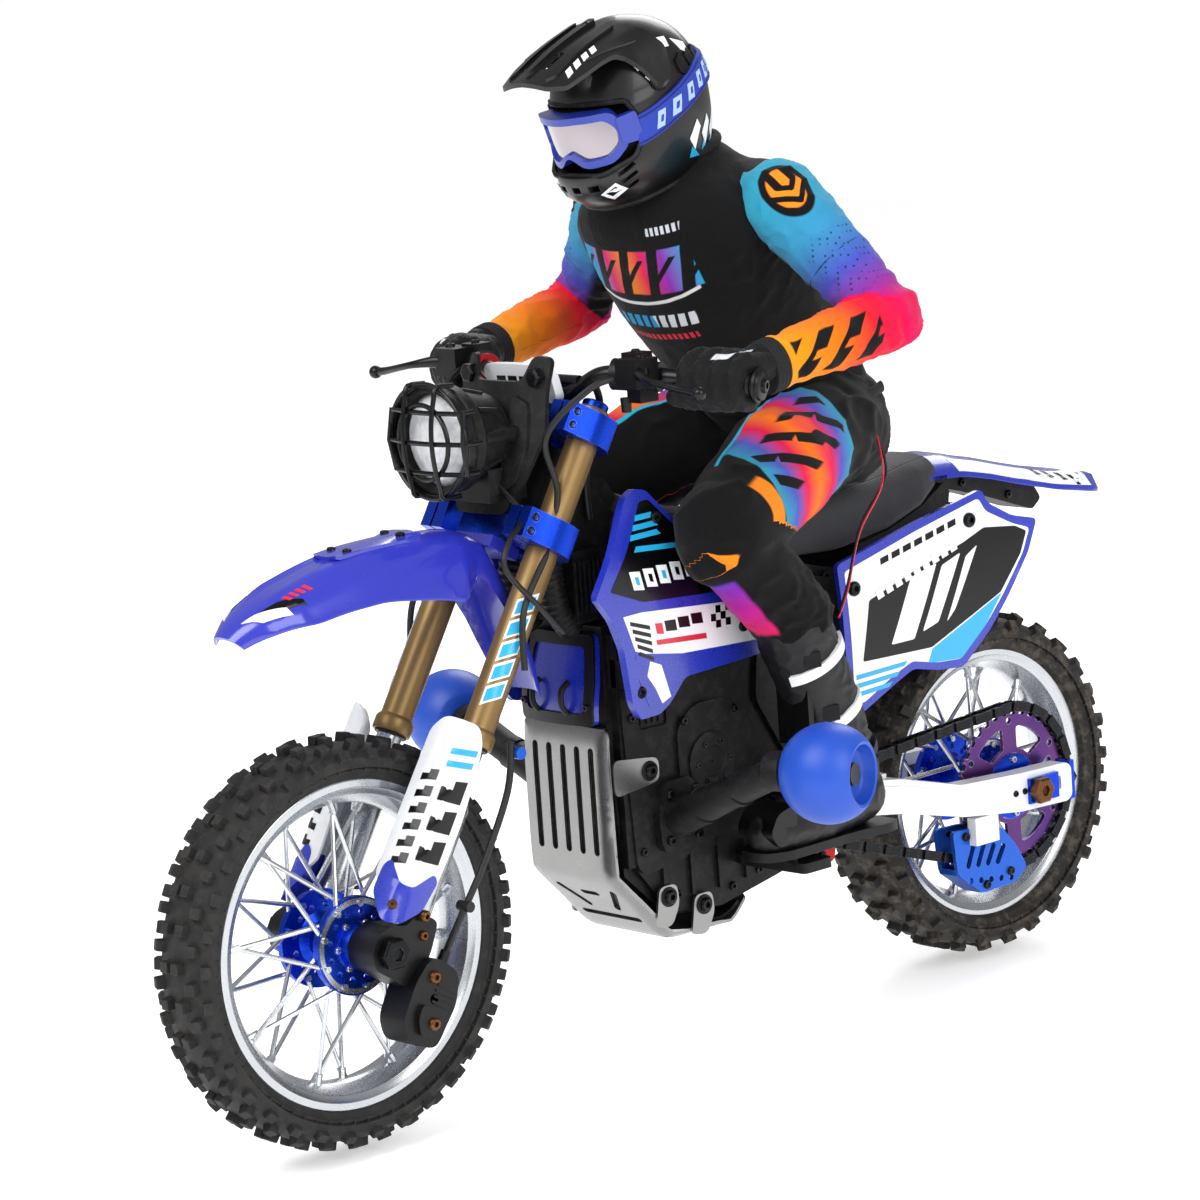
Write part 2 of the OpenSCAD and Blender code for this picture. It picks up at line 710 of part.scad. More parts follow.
// Two box arms, joined ahead of the tyre and open round the pivot stubs and the rear axle
module swingarm() {
    color("#eef0f2") difference() {
        union() {
            both_sides() {
                side_plate([[-80, 107], [-140, 92.5], [-208, 91], [-208, 73], [-172, 74], [-140, 80], [-80, 92]], 34, 43);
                side_plate([[-54, 106.4], [-84, 106.4], [-84, 91], [-54, 93]], 24.4, 35);
                side_plate([[-76, 108], [-88, 105.5], [-88, 91], [-76, 91]], 30, 39);
            }
            translate([-96, -36, 94]) cube([10, 72, 12]);
            both_sides() translate([shock_low[0], 0, shock_low[2]]) y_rod(4, 3.4, 6.4);
            both_sides() translate([-92, 3.4, 100]) cube([8, 3, 12]);
            translate([shock_low[0], 0, shock_low[2]]) y_rod(1.6, -5, 5);
        }
        both_sides() translate([pivot_x, 0, pivot_z]) y_rod(4 + gap, 20, 50);
        at_rear_axle() y_rod(axle_r + gap, -60, 60);
        at_rear_axle() translate([-14, -60, -axle_r]) cube([14, 120, 2 * axle_r]);
    }
}

guide_outline = [[-140, 70], [-172, 66], [-186, 46], [-174, 38.5], [-157, 38.5], [-142, 50]];

module chain_guide() {
    color("#1f6fe6") difference() {
        union() {
            side_plate(guide_outline, chain_y + 4.2, chain_y + 6.2);
            side_plate(guide_outline, chain_y - 6.2, chain_y - 4.2);
            side_plate([[-158, 41], [-142, 52], [-142, 49], [-157, 38], [-174, 38], [-174, 41]], chain_y - 6.2, chain_y + 6.2);
        }
        for (i = [0:3]) translate([-148 - i * 8, 0, 58]) y_rod(2, 15, 40);
    }
    color("#eef0f2") translate([-166, 34.2, 62]) cube([16, 4, 12.9]);
}

// Point and direction at a distance s along the chain's pitch line
chain_dx = shaft_x - rear_x;
chain_dz = shaft_z - rear_tyre_r;
chain_span = norm([chain_dx, chain_dz]);
chain_dir = atan2(chain_dz, chain_dx);
chain_split = acos((rear_pitch_r - front_pitch_r) / chain_span);
chain_straight = sqrt(pow(chain_span, 2) - pow(rear_pitch_r - front_pitch_r, 2));
rear_arc = rear_pitch_r * PI * (360 - 2 * chain_split) / 180;
front_arc = front_pitch_r * PI * 2 * chain_split / 180;
chain_length = rear_arc + front_arc + 2 * chain_straight;
link_pairs = round(chain_length / pitch / 2);

function on_circle(cx, cz, r, a) = [cx + r * cos(a), cz + r * sin(a)];
function chain_at(s) =
    s < chain_straight
        ? let (a = chain_dir + chain_split, k = s / chain_straight,
               p = on_circle(rear_x, rear_tyre_r, rear_pitch_r, a),
               q = on_circle(shaft_x, shaft_z, front_pitch_r, a)) p + (q - p) * k
    : s < chain_straight + front_arc
        ? on_circle(shaft_x, shaft_z, front_pitch_r,
            chain_dir + chain_split - (s - chain_straight) / front_pitch_r * 180 / PI)
    : s < 2 * chain_straight + front_arc
        ? let (a = chain_dir - chain_split, k = (s - chain_straight - front_arc) / chain_straight,
               p = on_circle(shaft_x, shaft_z, front_pitch_r, a),
               q = on_circle(rear_x, rear_tyre_r, rear_pitch_r, a)) p + (q - p) * k
    : on_circle(rear_x, rear_tyre_r, rear_pitch_r,
        chain_dir - chain_split - (s - 2 * chain_straight - front_arc) / rear_pitch_r * 180 / PI);

module chain_link(p, q, outer) {
    d = q - p;
    plate_y = outer ? 2.5 : 1.6;
    translate([p[0], chain_y, p[1]]) rotate([0, -atan2(d[1], d[0]), 0]) {
        both_sides() difference() {
            translate([-1.9, plate_y, -2.2]) cube([norm(d) + 3.8, 0.8, 4.4]);
            if (!outer) for (x = [0, norm(d)]) translate([x, 0, 0]) y_rod(1.1, 0, 4);
        }
        for (x = [0, norm(d)]) translate([x, 0, 0]) {
            if (outer) y_rod(1, -3.4, 3.4);
            if (!outer) difference() {
                y_rod(1.6, -1.7, 1.7);
                y_rod(1.1, -3, 3);
            }
        }
    }
}

module drive_chain() {
    step = chain_length / (2 * link_pairs);
    color("#1b1b1d") for (k = [0:2 * link_pairs - 1])
        chain_link(chain_at(k * step), chain_at((k + 1) % (2 * link_pairs) * step), k % 2 == 0);
}

module rear_axle() {
    color("#7d5a3a") at_rear_axle() {
        y_rod(axle_r, -47, 47);
        y_rod(4.6, 43.2, 47.4);
        y_rod(4.6, -47.4, -43.2);
    }
}

// ---------------------------------------------------------------- shock absorber

shock_dir = shock_top - shock_low;
shock_len = norm(shock_dir);
shock_lean = atan2(shock_dir[0], shock_dir[2]);

module on_shock() { translate(shock_low) rotate([0, shock_lean, 0]) children(); }

module shock_body() {
    color("#c9ccd0") on_shock() difference() {
        union() {
            translate([0, 0, 34]) cylinder(r = 6, h = shock_len - 38);
            translate([0, 0, shock_len - 8]) cylinder(r = 9.5, h = 3);
            translate([0, 0, shock_len]) y_rod(4.4, -3, 3);
        }
        translate([0, 0, 30]) cylinder(r = 2 + gap, h = 32);
        translate([0, 0, shock_len]) y_rod(2 + gap, -5, 5);
    }
}

module shock_rod() {
    color("#8c8f94") on_shock() difference() {
        union() {
            translate([0, 0, 3]) cylinder(r = 2, h = 44);
            translate([0, 0, 7]) cylinder(r = 8, h = 3);
            y_rod(4, -2.6, 2.6);
        }
        y_rod(2.4, -5, 5);
    }
}

module shock_spring() {
    color("#d8a13a") on_shock() for (k = [0:7]) translate([0, 0, 12.4 + k * 6.6]) difference() {
        cylinder(r = 9, h = 2);
        translate([0, 0, -1]) cylinder(r = 6.8, h = 4);
    }
}

// ---------------------------------------------------------------- drive inside the chassis

module gear(teeth, r, width) {
    rotate([90, 0, 0]) translate([0, 0, -width / 2]) linear_extrude(height = width) polygon([
        for (k = [0:teeth - 1]) for (c = [[-0.3, 0], [-0.15, 1], [0.15, 1], [0.3, 0]])
            let (a = (k + c[0]) * 360 / teeth, t = r - 1.4 + c[1] * 1.4) [t * cos(a), t * sin(a)]
    ]);
}

module motor_pinion() {
    color("#b8a04a") translate([motor_x, 0, shaft_z]) {
        y_rod(1.6, gear_y + 1, 17);
        translate([0, gear_y + 2.5, 0]) gear(15, 5.9, 5);
    }
}

module drive_gear() {
    color("#6d7076") translate([shaft_x, 0, shaft_z]) {
        y_rod(2.5, gear_y - 1, chain_y + 3);
        translate([0, gear_y + 2.5, 0]) gear(45, 18, 4);
        translate([0, chain_y, 0]) gear(10, 6.6, 1.6);
    }
}

chassis_left();
chassis_right();
steering_head();
skid_plate();
front_hatch();
shrouds();
seat();
side_panels();
rear_fender();
electronics();
drive_motor();
body_screws();
crash_bars();
rider_jersey();
rider_pants();
rider_boots();
helmet();
goggles();
rider_head();
upper_arm_left();
upper_arm_right();
forearm_left();
forearm_right();
upper_clamp();
lower_clamp();
fork_tubes();
handlebar();
bar_pad();
bar_controls();
headlight_bowl();
headlight_lens();
headlight_cage();
front_fender();
gloves();
fork_sliders();
fork_guards();
brake_caliper();
front_axle();
front_hub();
front_rim();
front_spokes();
front_tyre();
brake_lever();
clutch_lever();
roller_left();
roller_right();
swingarm();
chain_guide();
drive_chain();
rear_axle();
rear_hub();
rear_rim();
rear_spokes();
rear_tyre();
rear_sprocket();
shock_body();
shock_rod();
shock_spring();
motor_pinion();
drive_gear();
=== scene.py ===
"""Looks of the quarter-scale motorcycle and its rider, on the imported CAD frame.

Lengths are in mm until a mesh is made; x is ahead, y is to the left and z is up.
"""

import random
from math import atan2, copysign, cos, exp, pi, radians, sin, sqrt

import bmesh
import bpy
from mathutils import Matrix, Vector, noise
from mathutils.geometry import delaunay_2d_cdt


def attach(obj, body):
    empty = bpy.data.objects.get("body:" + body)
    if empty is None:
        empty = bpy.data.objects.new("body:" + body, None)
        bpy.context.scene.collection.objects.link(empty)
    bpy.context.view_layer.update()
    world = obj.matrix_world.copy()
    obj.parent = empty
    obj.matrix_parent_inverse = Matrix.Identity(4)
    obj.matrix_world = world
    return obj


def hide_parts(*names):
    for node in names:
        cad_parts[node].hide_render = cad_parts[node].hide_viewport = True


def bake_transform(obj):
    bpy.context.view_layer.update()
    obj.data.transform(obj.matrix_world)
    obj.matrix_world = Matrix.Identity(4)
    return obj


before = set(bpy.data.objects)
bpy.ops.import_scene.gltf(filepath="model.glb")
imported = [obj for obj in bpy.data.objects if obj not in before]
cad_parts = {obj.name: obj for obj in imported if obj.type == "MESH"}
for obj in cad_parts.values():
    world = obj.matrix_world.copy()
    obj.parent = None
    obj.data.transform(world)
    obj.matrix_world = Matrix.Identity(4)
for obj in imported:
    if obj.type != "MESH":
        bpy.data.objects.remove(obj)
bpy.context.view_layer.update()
MM = 0.001
TAU = 2 * pi
rng = random.Random(11)


# ------------------------------------------------------------------ shapes


def V(*c):
    return Vector(c)


def lerp(a, b, t):
    return a + (b - a) * t


def smooth(t):
    t = max(0.0, min(1.0, t))
    return t * t * (3 - 2 * t)


def bell(x, centre, width):
    """1 at the centre, falling away on both sides."""
    return exp(-((x - centre) / width) ** 2)


class Shape:
    """The vertices, faces and material numbers of one piece."""

    def __init__(self):
        self.verts, self.faces, self.mats = [], [], []

    def add(self, part, mat=0, move=None):
        verts, faces = part
        base = len(self.verts)
        for v in verts:
            v = Vector(v)
            self.verts.append(move @ v if move is not None else v)
        for f in faces:
            self.faces.append([base + i for i in f])
            self.mats.append(mat)
        return self


def skin(rings, closed=True, caps=True):
    """Faces over a list of equal rings."""
    n = len(rings[0])
    verts = [v for r in rings for v in r]
    faces = []
    for i in range(len(rings) - 1):
        for j in range(n if closed else n - 1):
            k = (j + 1) % n
            faces.append([i * n + j, i * n + k, (i + 1) * n + k, (i + 1) * n + j])
    if caps:
        faces.append(list(range(n))[::-1])
        faces.append([(len(rings) - 1) * n + j for j in range(n)])
    return verts, faces


def block(size, centre=(0, 0, 0), taper=1.0):
    x, y, z = (s / 2 for s in size)
    c = Vector(centre)
    low = [V(-x, -y, -z), V(x, -y, -z), V(x, y, -z), V(-x, y, -z)]
    top = [V(a.x * taper, a.y * taper, z) for a in low]
    return skin([[c + a for a in low], [c + a for a in top]])


def lathe(profile, n=72, axis="y", centre=(0, 0, 0)):
    """A closed profile of (radius, along) turned round an axis."""
    c = Vector(centre)
    verts, faces, m = [], [], len(profile)
    for i in range(n):
        a = i * TAU / n
        for r, h in profile:
            p = {"y": V(r * cos(a), h, r * sin(a)), "z": V(r * cos(a), r * sin(a), h),
                 "x": V(h, r * cos(a), r * sin(a))}[axis]
            verts.append(c + p)
    for i in range(n):
        k = (i + 1) % n
        for j in range(m):
            q = (j + 1) % m
            faces.append([i * m + j, k * m + j, k * m + q, i * m + q])
    return verts, faces


def rod(a, b, r, r2=None, n=24):
    """A round bar from a to b."""
    return tube([a, b], [r, r if r2 is None else r2], n)


def tube(points, radius, n=14, squash=1.0, up=None):
    """A round bar along a path; radius may be a list."""
    pts = [Vector(p) for p in points]
    radii = radius if isinstance(radius, (list, tuple)) else [radius] * len(pts)
    rings, side = [], None
    for i, p in enumerate(pts):
        d = (pts[min(i + 1, len(pts) - 1)] - pts[max(i - 1, 0)]).normalized()
        if side is None:
            side = d.cross(up or (V(0, 0, 1) if abs(d.z) < 0.9 else V(1, 0, 0))).normalized()
        side = (side - d * side.dot(d)).normalized()
        other = d.cross(side)
        rings.append([p + (side * cos(j * TAU / n) * squash + other * sin(j * TAU / n))
                      * radii[i] for j in range(n)])
    return skin(rings)


def curve(points, steps=6):
    """Extra points on a smooth path through the given ones."""
    p = [Vector(q) for q in points]
    out = []
    for i in range(len(p) - 1):
        a, b, c, d = p[max(i - 1, 0)], p[i], p[i + 1], p[min(i + 2, len(p) - 1)]
        for k in range(steps):
            t = k / steps
            out.append(0.5 * (2 * b + (c - a) * t + (2 * a - 5 * b + 4 * c - d) * t * t
                              + (3 * b - a - 3 * c + d) * t ** 3))
    return out + [p[-1]]


def ball(c, r, n=24, m=14, scale=(1, 1, 1)):
    rings = []
    for i in range(1, m):
        a = pi * i / m
        rings.append([Vector(c) + V(r * scale[0] * sin(a) * cos(j * TAU / n),
                                    r * scale[1] * sin(a) * sin(j * TAU / n),
                                    -r * scale[2] * cos(a)) for j in range(n)])
    return skin(rings)


def inside(p, poly):
    hit, j = False, len(poly) - 1
    for i in range(len(poly)):
        a, b = poly[i], poly[j]
        if (a[1] > p[1]) != (b[1] > p[1]) and p[0] < (b[0] - a[0]) * (p[1] - a[1]) / (b[1] - a[1]) + a[0]:
            hit = not hit
        j = i
    return hit


def disc(cx, cy, r, n=24):
    return [(cx + r * cos(i * TAU / n), cy + r * sin(i * TAU / n)) for i in range(n)]


def slot_hole(a, b, r, n=8):
    """Outline of a round-ended slot."""
    a, b = Vector(a), Vector(b)
    t = atan2(b.y - a.y, b.x - a.x)
    out = [(b.x + r * cos(t + (i / n - 0.5) * pi), b.y + r * sin(t + (i / n - 0.5) * pi)) for i in range(n + 1)]
    return out + [(a.x + r * cos(t + (i / n + 0.5) * pi), a.y + r * sin(t + (i / n + 0.5)
            * pi)) for i in range(n + 1)]


def round_off(poly, r=2.0, n=4):
    """A polygon with its corners rounded."""
    out, m = [], len(poly)
    for i in range(m):
        a, b, c = Vector(poly[i - 1]), Vector(poly[i]), Vector(poly[(i + 1) % m])
        u, w = a - b, c - b
        k = min(r, u.length * 0.45, w.length * 0.45)
        p, q = b + u.normalized() * k, b + w.normalized() * k
        for j in range(n + 1):
            t = j / n
            out.append(tuple(p * (1 - t) ** 2 + b * 2 * t * (1 - t) + q * t * t))
    return out


def panel(outline, low, high, place=None, holes=(), step=0):
    """A slab over an outline in (u, v), from lift low to lift high, put in space by place(u, v, lift)."""
    pts, edges = [], []

    def loop(poly):
        base = len(pts)
        fine = []
        for i in range(len(poly)):
            a, b = Vector(poly[i][:2]), Vector(poly[(i + 1) % len(poly)][:2])
            k = max(1, int((b - a).length / step)) if step else 1
            fine += [a.lerp(b, j / k) for j in range(k)]
        pts.extend(fine)
        edges.extend((base + i, base + (i + 1) % len(fine)) for i in range(len(fine)))

    loop(outline)
    for h in holes:
        loop(h)
    if step:
        us, vs = [p[0] for p in outline], [p[1] for p in outline]
        u = min(us) + step / 2
        while u < max(us):
            v = min(vs) + step / 2
            while v < max(vs):
                if inside((u, v), outline) and not any(inside((u, v), h) for h in holes):
                    if all((Vector((u, v)) - q).length > step * 0.45 for q in pts[:len(edges)]):
                        pts.append(Vector((u, v)))
                v += step
            u += step
    found = delaunay_2d_cdt(pts, edges, [], 0, 1e-5)
    co, tris = found[0], found[2]
    keep = []
    for t in tris:
        c = (co[t[0]] + co[t[1]] + co[t[2]]) / 3
        if inside(c, outline) and not any(inside(c, h) for h in holes):
            keep.append(list(t))
    used = sorted({i for t in keep for i in t})
    index = {i: k for k, i in enumerate(used)}
    n = len(used)
    place = place or (lambda u, v, w: V(u, w, v))
    verts = [place(co[i].x, co[i].y, high) for i in used] + [place(co[i].x, co[i].y, low) for i in used]
    faces, count = [], {}
    for t in keep:
        t = [index[i] for i in t]
        faces += [t, [n + i for i in t[::-1]]]
        for a, b in zip(t, t[1:] + t[:1]):
            count[(a, b)] = 1
    for a, b in count:
        if (b, a) not in count:
            faces.append([b, a, n + a, n + b])
    return verts, faces


def screw(at, out, r=2.6, h=1.6, n=20):
    """Round-headed hex-socket screw: its head and the dark socket's wall, facing out."""
    out = Vector(out).normalized()
    q = out.to_track_quat("Z", "Y").to_matrix().to_4x4()
    move = Matrix.Translation(Vector(at)) @ q
    s = Shape()
    rings = []
    for rr, z in ((r, -0.8), (r, h * 0.45), (r * 0.93, h * 0.75), (r * 0.74, h), (r * 0.5, h)):
        rings.append([V(rr * cos(i * TAU / n), rr * sin(i * TAU / n), z) for i in range(n)])
    hexa = [V(r * 0.44 / max(cos(((i * TAU / n) % (TAU / 6)) - TAU / 12), 0.1) * cos(i * TAU / n) * 0.98,
              r * 0.44 / max(cos(((i * TAU / n) % (TAU / 6)) - TAU / 12), 0.1) * sin(i * TAU / n) * 0.98, z)
            for z in (h, h * 0.25) for i in range(n)]
    rings += [hexa[:n], hexa[n:]]
    s.add(skin(rings), 0, move)
    return s.verts, s.faces


def make(name, shape, mats, body, nodes=(), bevel=0.0, sharp=35.0, segments=2, subdivide=0):
    """Turns a shape into a named piece that rides on a body and stands for CAD nodes."""
    mesh = bpy.data.meshes.new(name)
    mesh.from_pydata([v * MM for v in shape.verts], [], shape.faces)
    for m in mats:
        mesh.materials.append(m)
    mesh.polygons.foreach_set("material_index", shape.mats)
    bm = bmesh.new()
    bm.from_mesh(mesh)
    bmesh.ops.recalc_face_normals(bm, faces=bm.faces)
    bm.to_mesh(mesh)
    bm.free()
    mesh.polygons.foreach_set("use_smooth", [True] * len(mesh.polygons))
    mesh.set_sharp_from_angle(angle=radians(sharp))
    obj = bpy.data.objects.new(name, mesh)
    bpy.context.scene.collection.objects.link(obj)
    if bevel:
        m = obj.modifiers.new("bevel", "BEVEL")
        m.width, m.segments, m.limit_method, m.angle_limit = bevel * MM, segments, "ANGLE", radians(32)
        m.harden_normals = True
    if subdivide:
        obj.modifiers.new("subdivide", "SUBSURF").levels = subdivide
        obj.modifiers["subdivide"].render_levels = subdivide
    if body:
        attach(obj, body)
    if nodes:
        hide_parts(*nodes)
    return obj


def melt(name, shape, voxel=1.4, rounds=6, factor=0.5):
    """One skin over overlapping closed parts, smoothed: a list of vertices in mm and quad faces."""
    mesh = bpy.data.meshes.new(name)
    mesh.from_pydata([v * MM for v in shape.verts], [], shape.faces)
    bm = bmesh.new()
    bm.from_mesh(mesh)
    bmesh.ops.recalc_face_normals(bm, faces=bm.faces)
    bm.to_mesh(mesh)
    bm.free()
    obj = bpy.data.objects.new(name, mesh)
    bpy.context.scene.collection.objects.link(obj)
    m = obj.modifiers.new("r", "REMESH")
    m.mode, m.voxel_size, m.adaptivity = "VOXEL", voxel * MM, 0
    m = obj.modifiers.new("s", "SMOOTH")
    m.factor, m.iterations = factor, rounds
    done = bpy.data.meshes.new_from_object(obj.evaluated_get(bpy.context.evaluated_depsgraph_get()))
    bpy.data.objects.remove(obj)
    return done


def cloth(name, mesh, mat, fold, body=None, nodes=(), extra=()):
    """A fabric piece from a melted mesh: fold(p, n) gives the push along the normal in mm; extra names more
    per-vertex values as (name, function of the rest place in mm)."""
    rest = [v.co / MM for v in mesh.vertices]
    normals = [v.normal.copy() for v in mesh.vertices]
    moved = [(p + n * fold(p, n)) * MM for p, n in zip(rest, normals)]
    mesh.vertices.foreach_set("co", [c for p in moved for c in p])
    mesh.update()
    layer = mesh.attributes.new("rest", "FLOAT_VECTOR", "POINT")
    layer.data.foreach_set("vector", [c for p in rest for c in p])
    for label, fn in extra:
        layer = mesh.attributes.new(label, "FLOAT", "POINT")
        layer.data.foreach_set("value", [fn(p) for p in rest])
    mesh.polygons.foreach_set("use_smooth", [True] * len(mesh.polygons))
    mesh.materials.clear()
    mesh.materials.append(mat)
    obj = bpy.data.objects.new(name, mesh)
    bpy.context.scene.collection.objects.link(obj)
    if body:
        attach(obj, body)
    if nodes:
        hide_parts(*nodes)
    return obj


# ------------------------------------------------------------------ materials


class Graph:
    """A procedural material; places are in mm, from the object or from its stored rest shape."""

    def __init__(self, name, rest=False):
        self.mat = bpy.data.materials.new(name)
        self.mat.use_nodes = True
        self.tree = self.mat.node_tree
        self.skin = self.tree.nodes["Principled BSDF"]
        if rest:
            n = self.tree.nodes.new("ShaderNodeAttribute")
            n.attribute_name = "rest"
            self.pos = n.outputs["Vector"]
        else:
            n = self.tree.nodes.new("ShaderNodeTexCoord")
            s = self.tree.nodes.new("ShaderNodeVectorMath")
            s.operation = "SCALE"
            s.inputs["Scale"].default_value = 1000
            self.tree.links.new(n.outputs["Object"], s.inputs[0])
            self.pos = s.outputs[0]
        n = self.tree.nodes.new("ShaderNodeSeparateXYZ")
        self.tree.links.new(self.pos, n.inputs[0])
        self.x, self.y, self.z = n.outputs

    def put(self, socket, value):
        if isinstance(value, bpy.types.NodeSocket):
            self.tree.links.new(value, socket)
        elif isinstance(value, str):
            socket.default_value = colour(value)
        else:
            socket.default_value = value

    def attr(self, name):
        n = self.tree.nodes.new("ShaderNodeAttribute")
        n.attribute_name = name
        return n.outputs["Fac"]

    def math(self, op, a, b=0.0, clamp=False):
        n = self.tree.nodes.new("ShaderNodeMath")
        n.operation, n.use_clamp = op, clamp
        self.put(n.inputs[0], a)
        self.put(n.inputs[1], b)
        return n.outputs[0]

    def add(self, *parts):
        total = parts[0]
        for p in parts[1:]:
            total = self.math("ADD", total, p)
        return total

    def times(self, a, b):
        return self.math("MULTIPLY", a, b)

    def invert(self, a):
        return self.math("SUBTRACT", 1.0, a)

    def line(self, kx=0.0, ky=0.0, kz=0.0, c=0.0):
        """kx*x + ky*y + kz*z + c"""
        return self.add(self.times(self.x, kx), self.times(self.y, ky), self.times(self.z, kz), c)

    def step(self, value, edge, soft=0.3):
        """0 below the edge, 1 above."""
        n = self.tree.nodes.new("ShaderNodeMapRange")
        n.interpolation_type = "SMOOTHSTEP"
        self.put(n.inputs[0], value)
        n.inputs[1].default_value, n.inputs[2].default_value = edge - soft, edge + soft
        return n.outputs[0]

    def between(self, value, low, high, soft=0.3):
        return self.times(self.step(value, low, soft), self.invert(self.step(value, high, soft)))

    def noise(self, scale, detail=3.0, rough=0.55, stretch=None):
        """Noise with features of about scale mm, centred on 0.5."""
        n = self.tree.nodes.new("ShaderNodeTexNoise")
        vec = self.pos
        if stretch:
            s = self.tree.nodes.new("ShaderNodeVectorMath")
            s.operation = "MULTIPLY"
            s.inputs[1].default_value = stretch
            self.tree.links.new(vec, s.inputs[0])
            vec = s.outputs[0]
        self.tree.links.new(vec, n.inputs["Vector"])
        n.inputs["Scale"].default_value = 1.0 / scale
        n.inputs["Detail"].default_value, n.inputs["Roughness"].default_value = detail, rough
        return n.outputs[0]

    def mix(self, fac, a, b):
        n = self.tree.nodes.new("ShaderNodeMix")
        n.data_type = "RGBA"
        self.put(n.inputs[0], fac)
        self.put(n.inputs[6], a)
        self.put(n.inputs[7], b)
        return n.outputs[2]

    def ramp(self, fac, stops, hard=False):
        n = self.tree.nodes.new("ShaderNodeValToRGB")
        r = n.color_ramp
        r.interpolation = "CONSTANT" if hard else "LINEAR"
        while len(r.elements) < len(stops):
            r.elements.new(0.5)
        for e, (p, c) in zip(r.elements, stops):
            e.position, e.color = p, colour(c)
        self.put(n.inputs[0], fac)
        return n.outputs[0]

    def worn_edges(self, radius=0.5):
        """1 on outside edges, 0 on flats."""
        b = self.tree.nodes.new("ShaderNodeBevel")
        b.inputs["Radius"].default_value = radius * MM
        b.samples = 2
        g = self.tree.nodes.new("ShaderNodeNewGeometry")
        d = self.tree.nodes.new("ShaderNodeVectorMath")
        d.operation = "DOT_PRODUCT"
        self.tree.links.new(b.outputs[0], d.inputs[0])
        self.tree.links.new(g.outputs["Normal"], d.inputs[1])
        return self.invert(self.step(d.outputs["Value"], 0.93, 0.06))

    def finish(self, base, rough=0.5, metal=0.0, mottle=0.08, grain=0.04, grain_size=0.5, bump=None, coat=0.0,
               wear=None, wear_amount=0.5, sheen=0.0, dust=0.0, vary=0.12, shine=0.5):
        """Base colour with mottling, grain, roughness changes and a fine bump."""
        col = base
        big, fine = self.noise(14.0), self.noise(grain_size, 2.0)
        if isinstance(col, str):
            col = self.mix(0.0, col, col)
        col = self.mix(self.math("MULTIPLY", big, mottle * 2, True), col, self.mix(0.65, col, "#000000"))
        if dust:
            d = self.math("MULTIPLY", self.step(self.noise(6.0, 4.0, 0.7), 0.56, 0.1), dust, True)
            col = self.mix(d, col, "#7d7061")
        if wear:
            edge = self.times(self.worn_edges(), self.step(self.noise(3.0, 3.0, 0.7), 0.5, 0.12))
            col = self.mix(self.times(edge, wear_amount), col, wear)
        self.put(self.skin.inputs["Base Color"], col)
        r = self.add(self.times(self.math("SUBTRACT", big, 0.5), vary), self.times(self.math("SUBTRACT",
                fine, 0.5), vary), rough)
        self.put(self.skin.inputs["Roughness"], self.math("MAXIMUM", r, 0.04, True))
        self.put(self.skin.inputs["Metallic"], metal)
        self.skin.inputs["Coat Weight"].default_value = coat
        self.skin.inputs["Coat Roughness"].default_value = 0.08
        self.skin.inputs["Sheen Weight"].default_value = sheen
        self.skin.inputs["Specular IOR Level"].default_value = shine
        b = self.tree.nodes.new("ShaderNodeBump")
        b.inputs["Strength"].default_value = 1.0
        b.inputs["Distance"].default_value = MM
        height = self.times(fine, grain)
        if bump is not None:
            height = self.add(height, bump)
        self.put(b.inputs["Height"], height)
        self.tree.links.new(b.outputs[0], self.skin.inputs["Normal"])
        return self.mat


def colour(text):
    """Linear colour of an #rrggbb string."""
    c = [int(text[i:i + 2], 16) / 255 for i in (1, 3, 5)]
    return [v / 12.92 if v <= 0.04045 else ((v + 0.055) / 1.055) ** 2.4 for v in c] + [1.0]


def plain(name, base, **k):
    return Graph(name).finish(base, **k)


BLUE = plain("blue_gloss", "#1f2fae", rough=0.28, coat=0.5, mottle=0.06, wear="#4a5ae0", wear_amount=0.2)
VIOLET = plain("violet_gloss", "#2c33b2", rough=0.24, coat=0.7, mottle=0.05, grain=0.02, grain_size=1.2)
ANODISED = plain("blue_anodised", "#1040c8", rough=0.26, metal=0.85, mottle=0.08, wear="#9db4ff",
                 wear_amount=0.5, grain=0.02)
GUIDE_BLUE = plain("guide_blue", "#1a5cc8", rough=0.3, metal=0.55, mottle=0.06, wear="#9cc4ff")
ROLLER_BLUE = plain("roller_blue", "#164cbc", rough=0.42, mottle=0.08, grain=0.02, grain_size=0.9)
GOLD = plain("gold_tube", "#8f7346", rough=0.42, metal=0.6, mottle=0.1, grain=0.015,
             wear="#cdb486", wear_amount=0.4)
WHITE = plain("white_plastic", "#e9ebee", rough=0.34, coat=0.25, mottle=0.03, dust=0.05)
BLACK = plain("black_plastic", "#0a0a0c", rough=0.42, shine=0.32, mottle=0.2, grain=0.05, grain_size=0.35,
              wear="#3a3c40", wear_amount=0.5)
NYLON = plain("black_nylon", "#0c0d0f", rough=0.52, shine=0.28, mottle=0.25, grain=0.1, grain_size=0.4, dust=0.05,
              wear="#3c3d40", wear_amount=0.5)
SATIN = plain("black_satin", "#080809", rough=0.3, shine=0.35, mottle=0.15, grain=0.02)
SCREW = plain("screw_black", "#121316", rough=0.32, metal=0.7, mottle=0.1, wear="#8a8d92")
BRONZE = plain("bronze_screw", "#6b4423", rough=0.35, metal=0.85, mottle=0.12, wear="#c9a070")
CHROME = plain("rim_silver", "#c4c7cb", rough=0.26, metal=0.95, mottle=0.06, grain=0.015, grain_size=0.8)
SPOKE = plain("spoke_steel", "#d3d6da", rough=0.22, metal=0.95, mottle=0.05)
CABLE = plain("cable_rubber", "#0c0c0d", rough=0.5, mottle=0.1)
RED = plain("red_anodised", "#b0101c", rough=0.3, metal=0.6, mottle=0.08, wear="#ff9aa0")
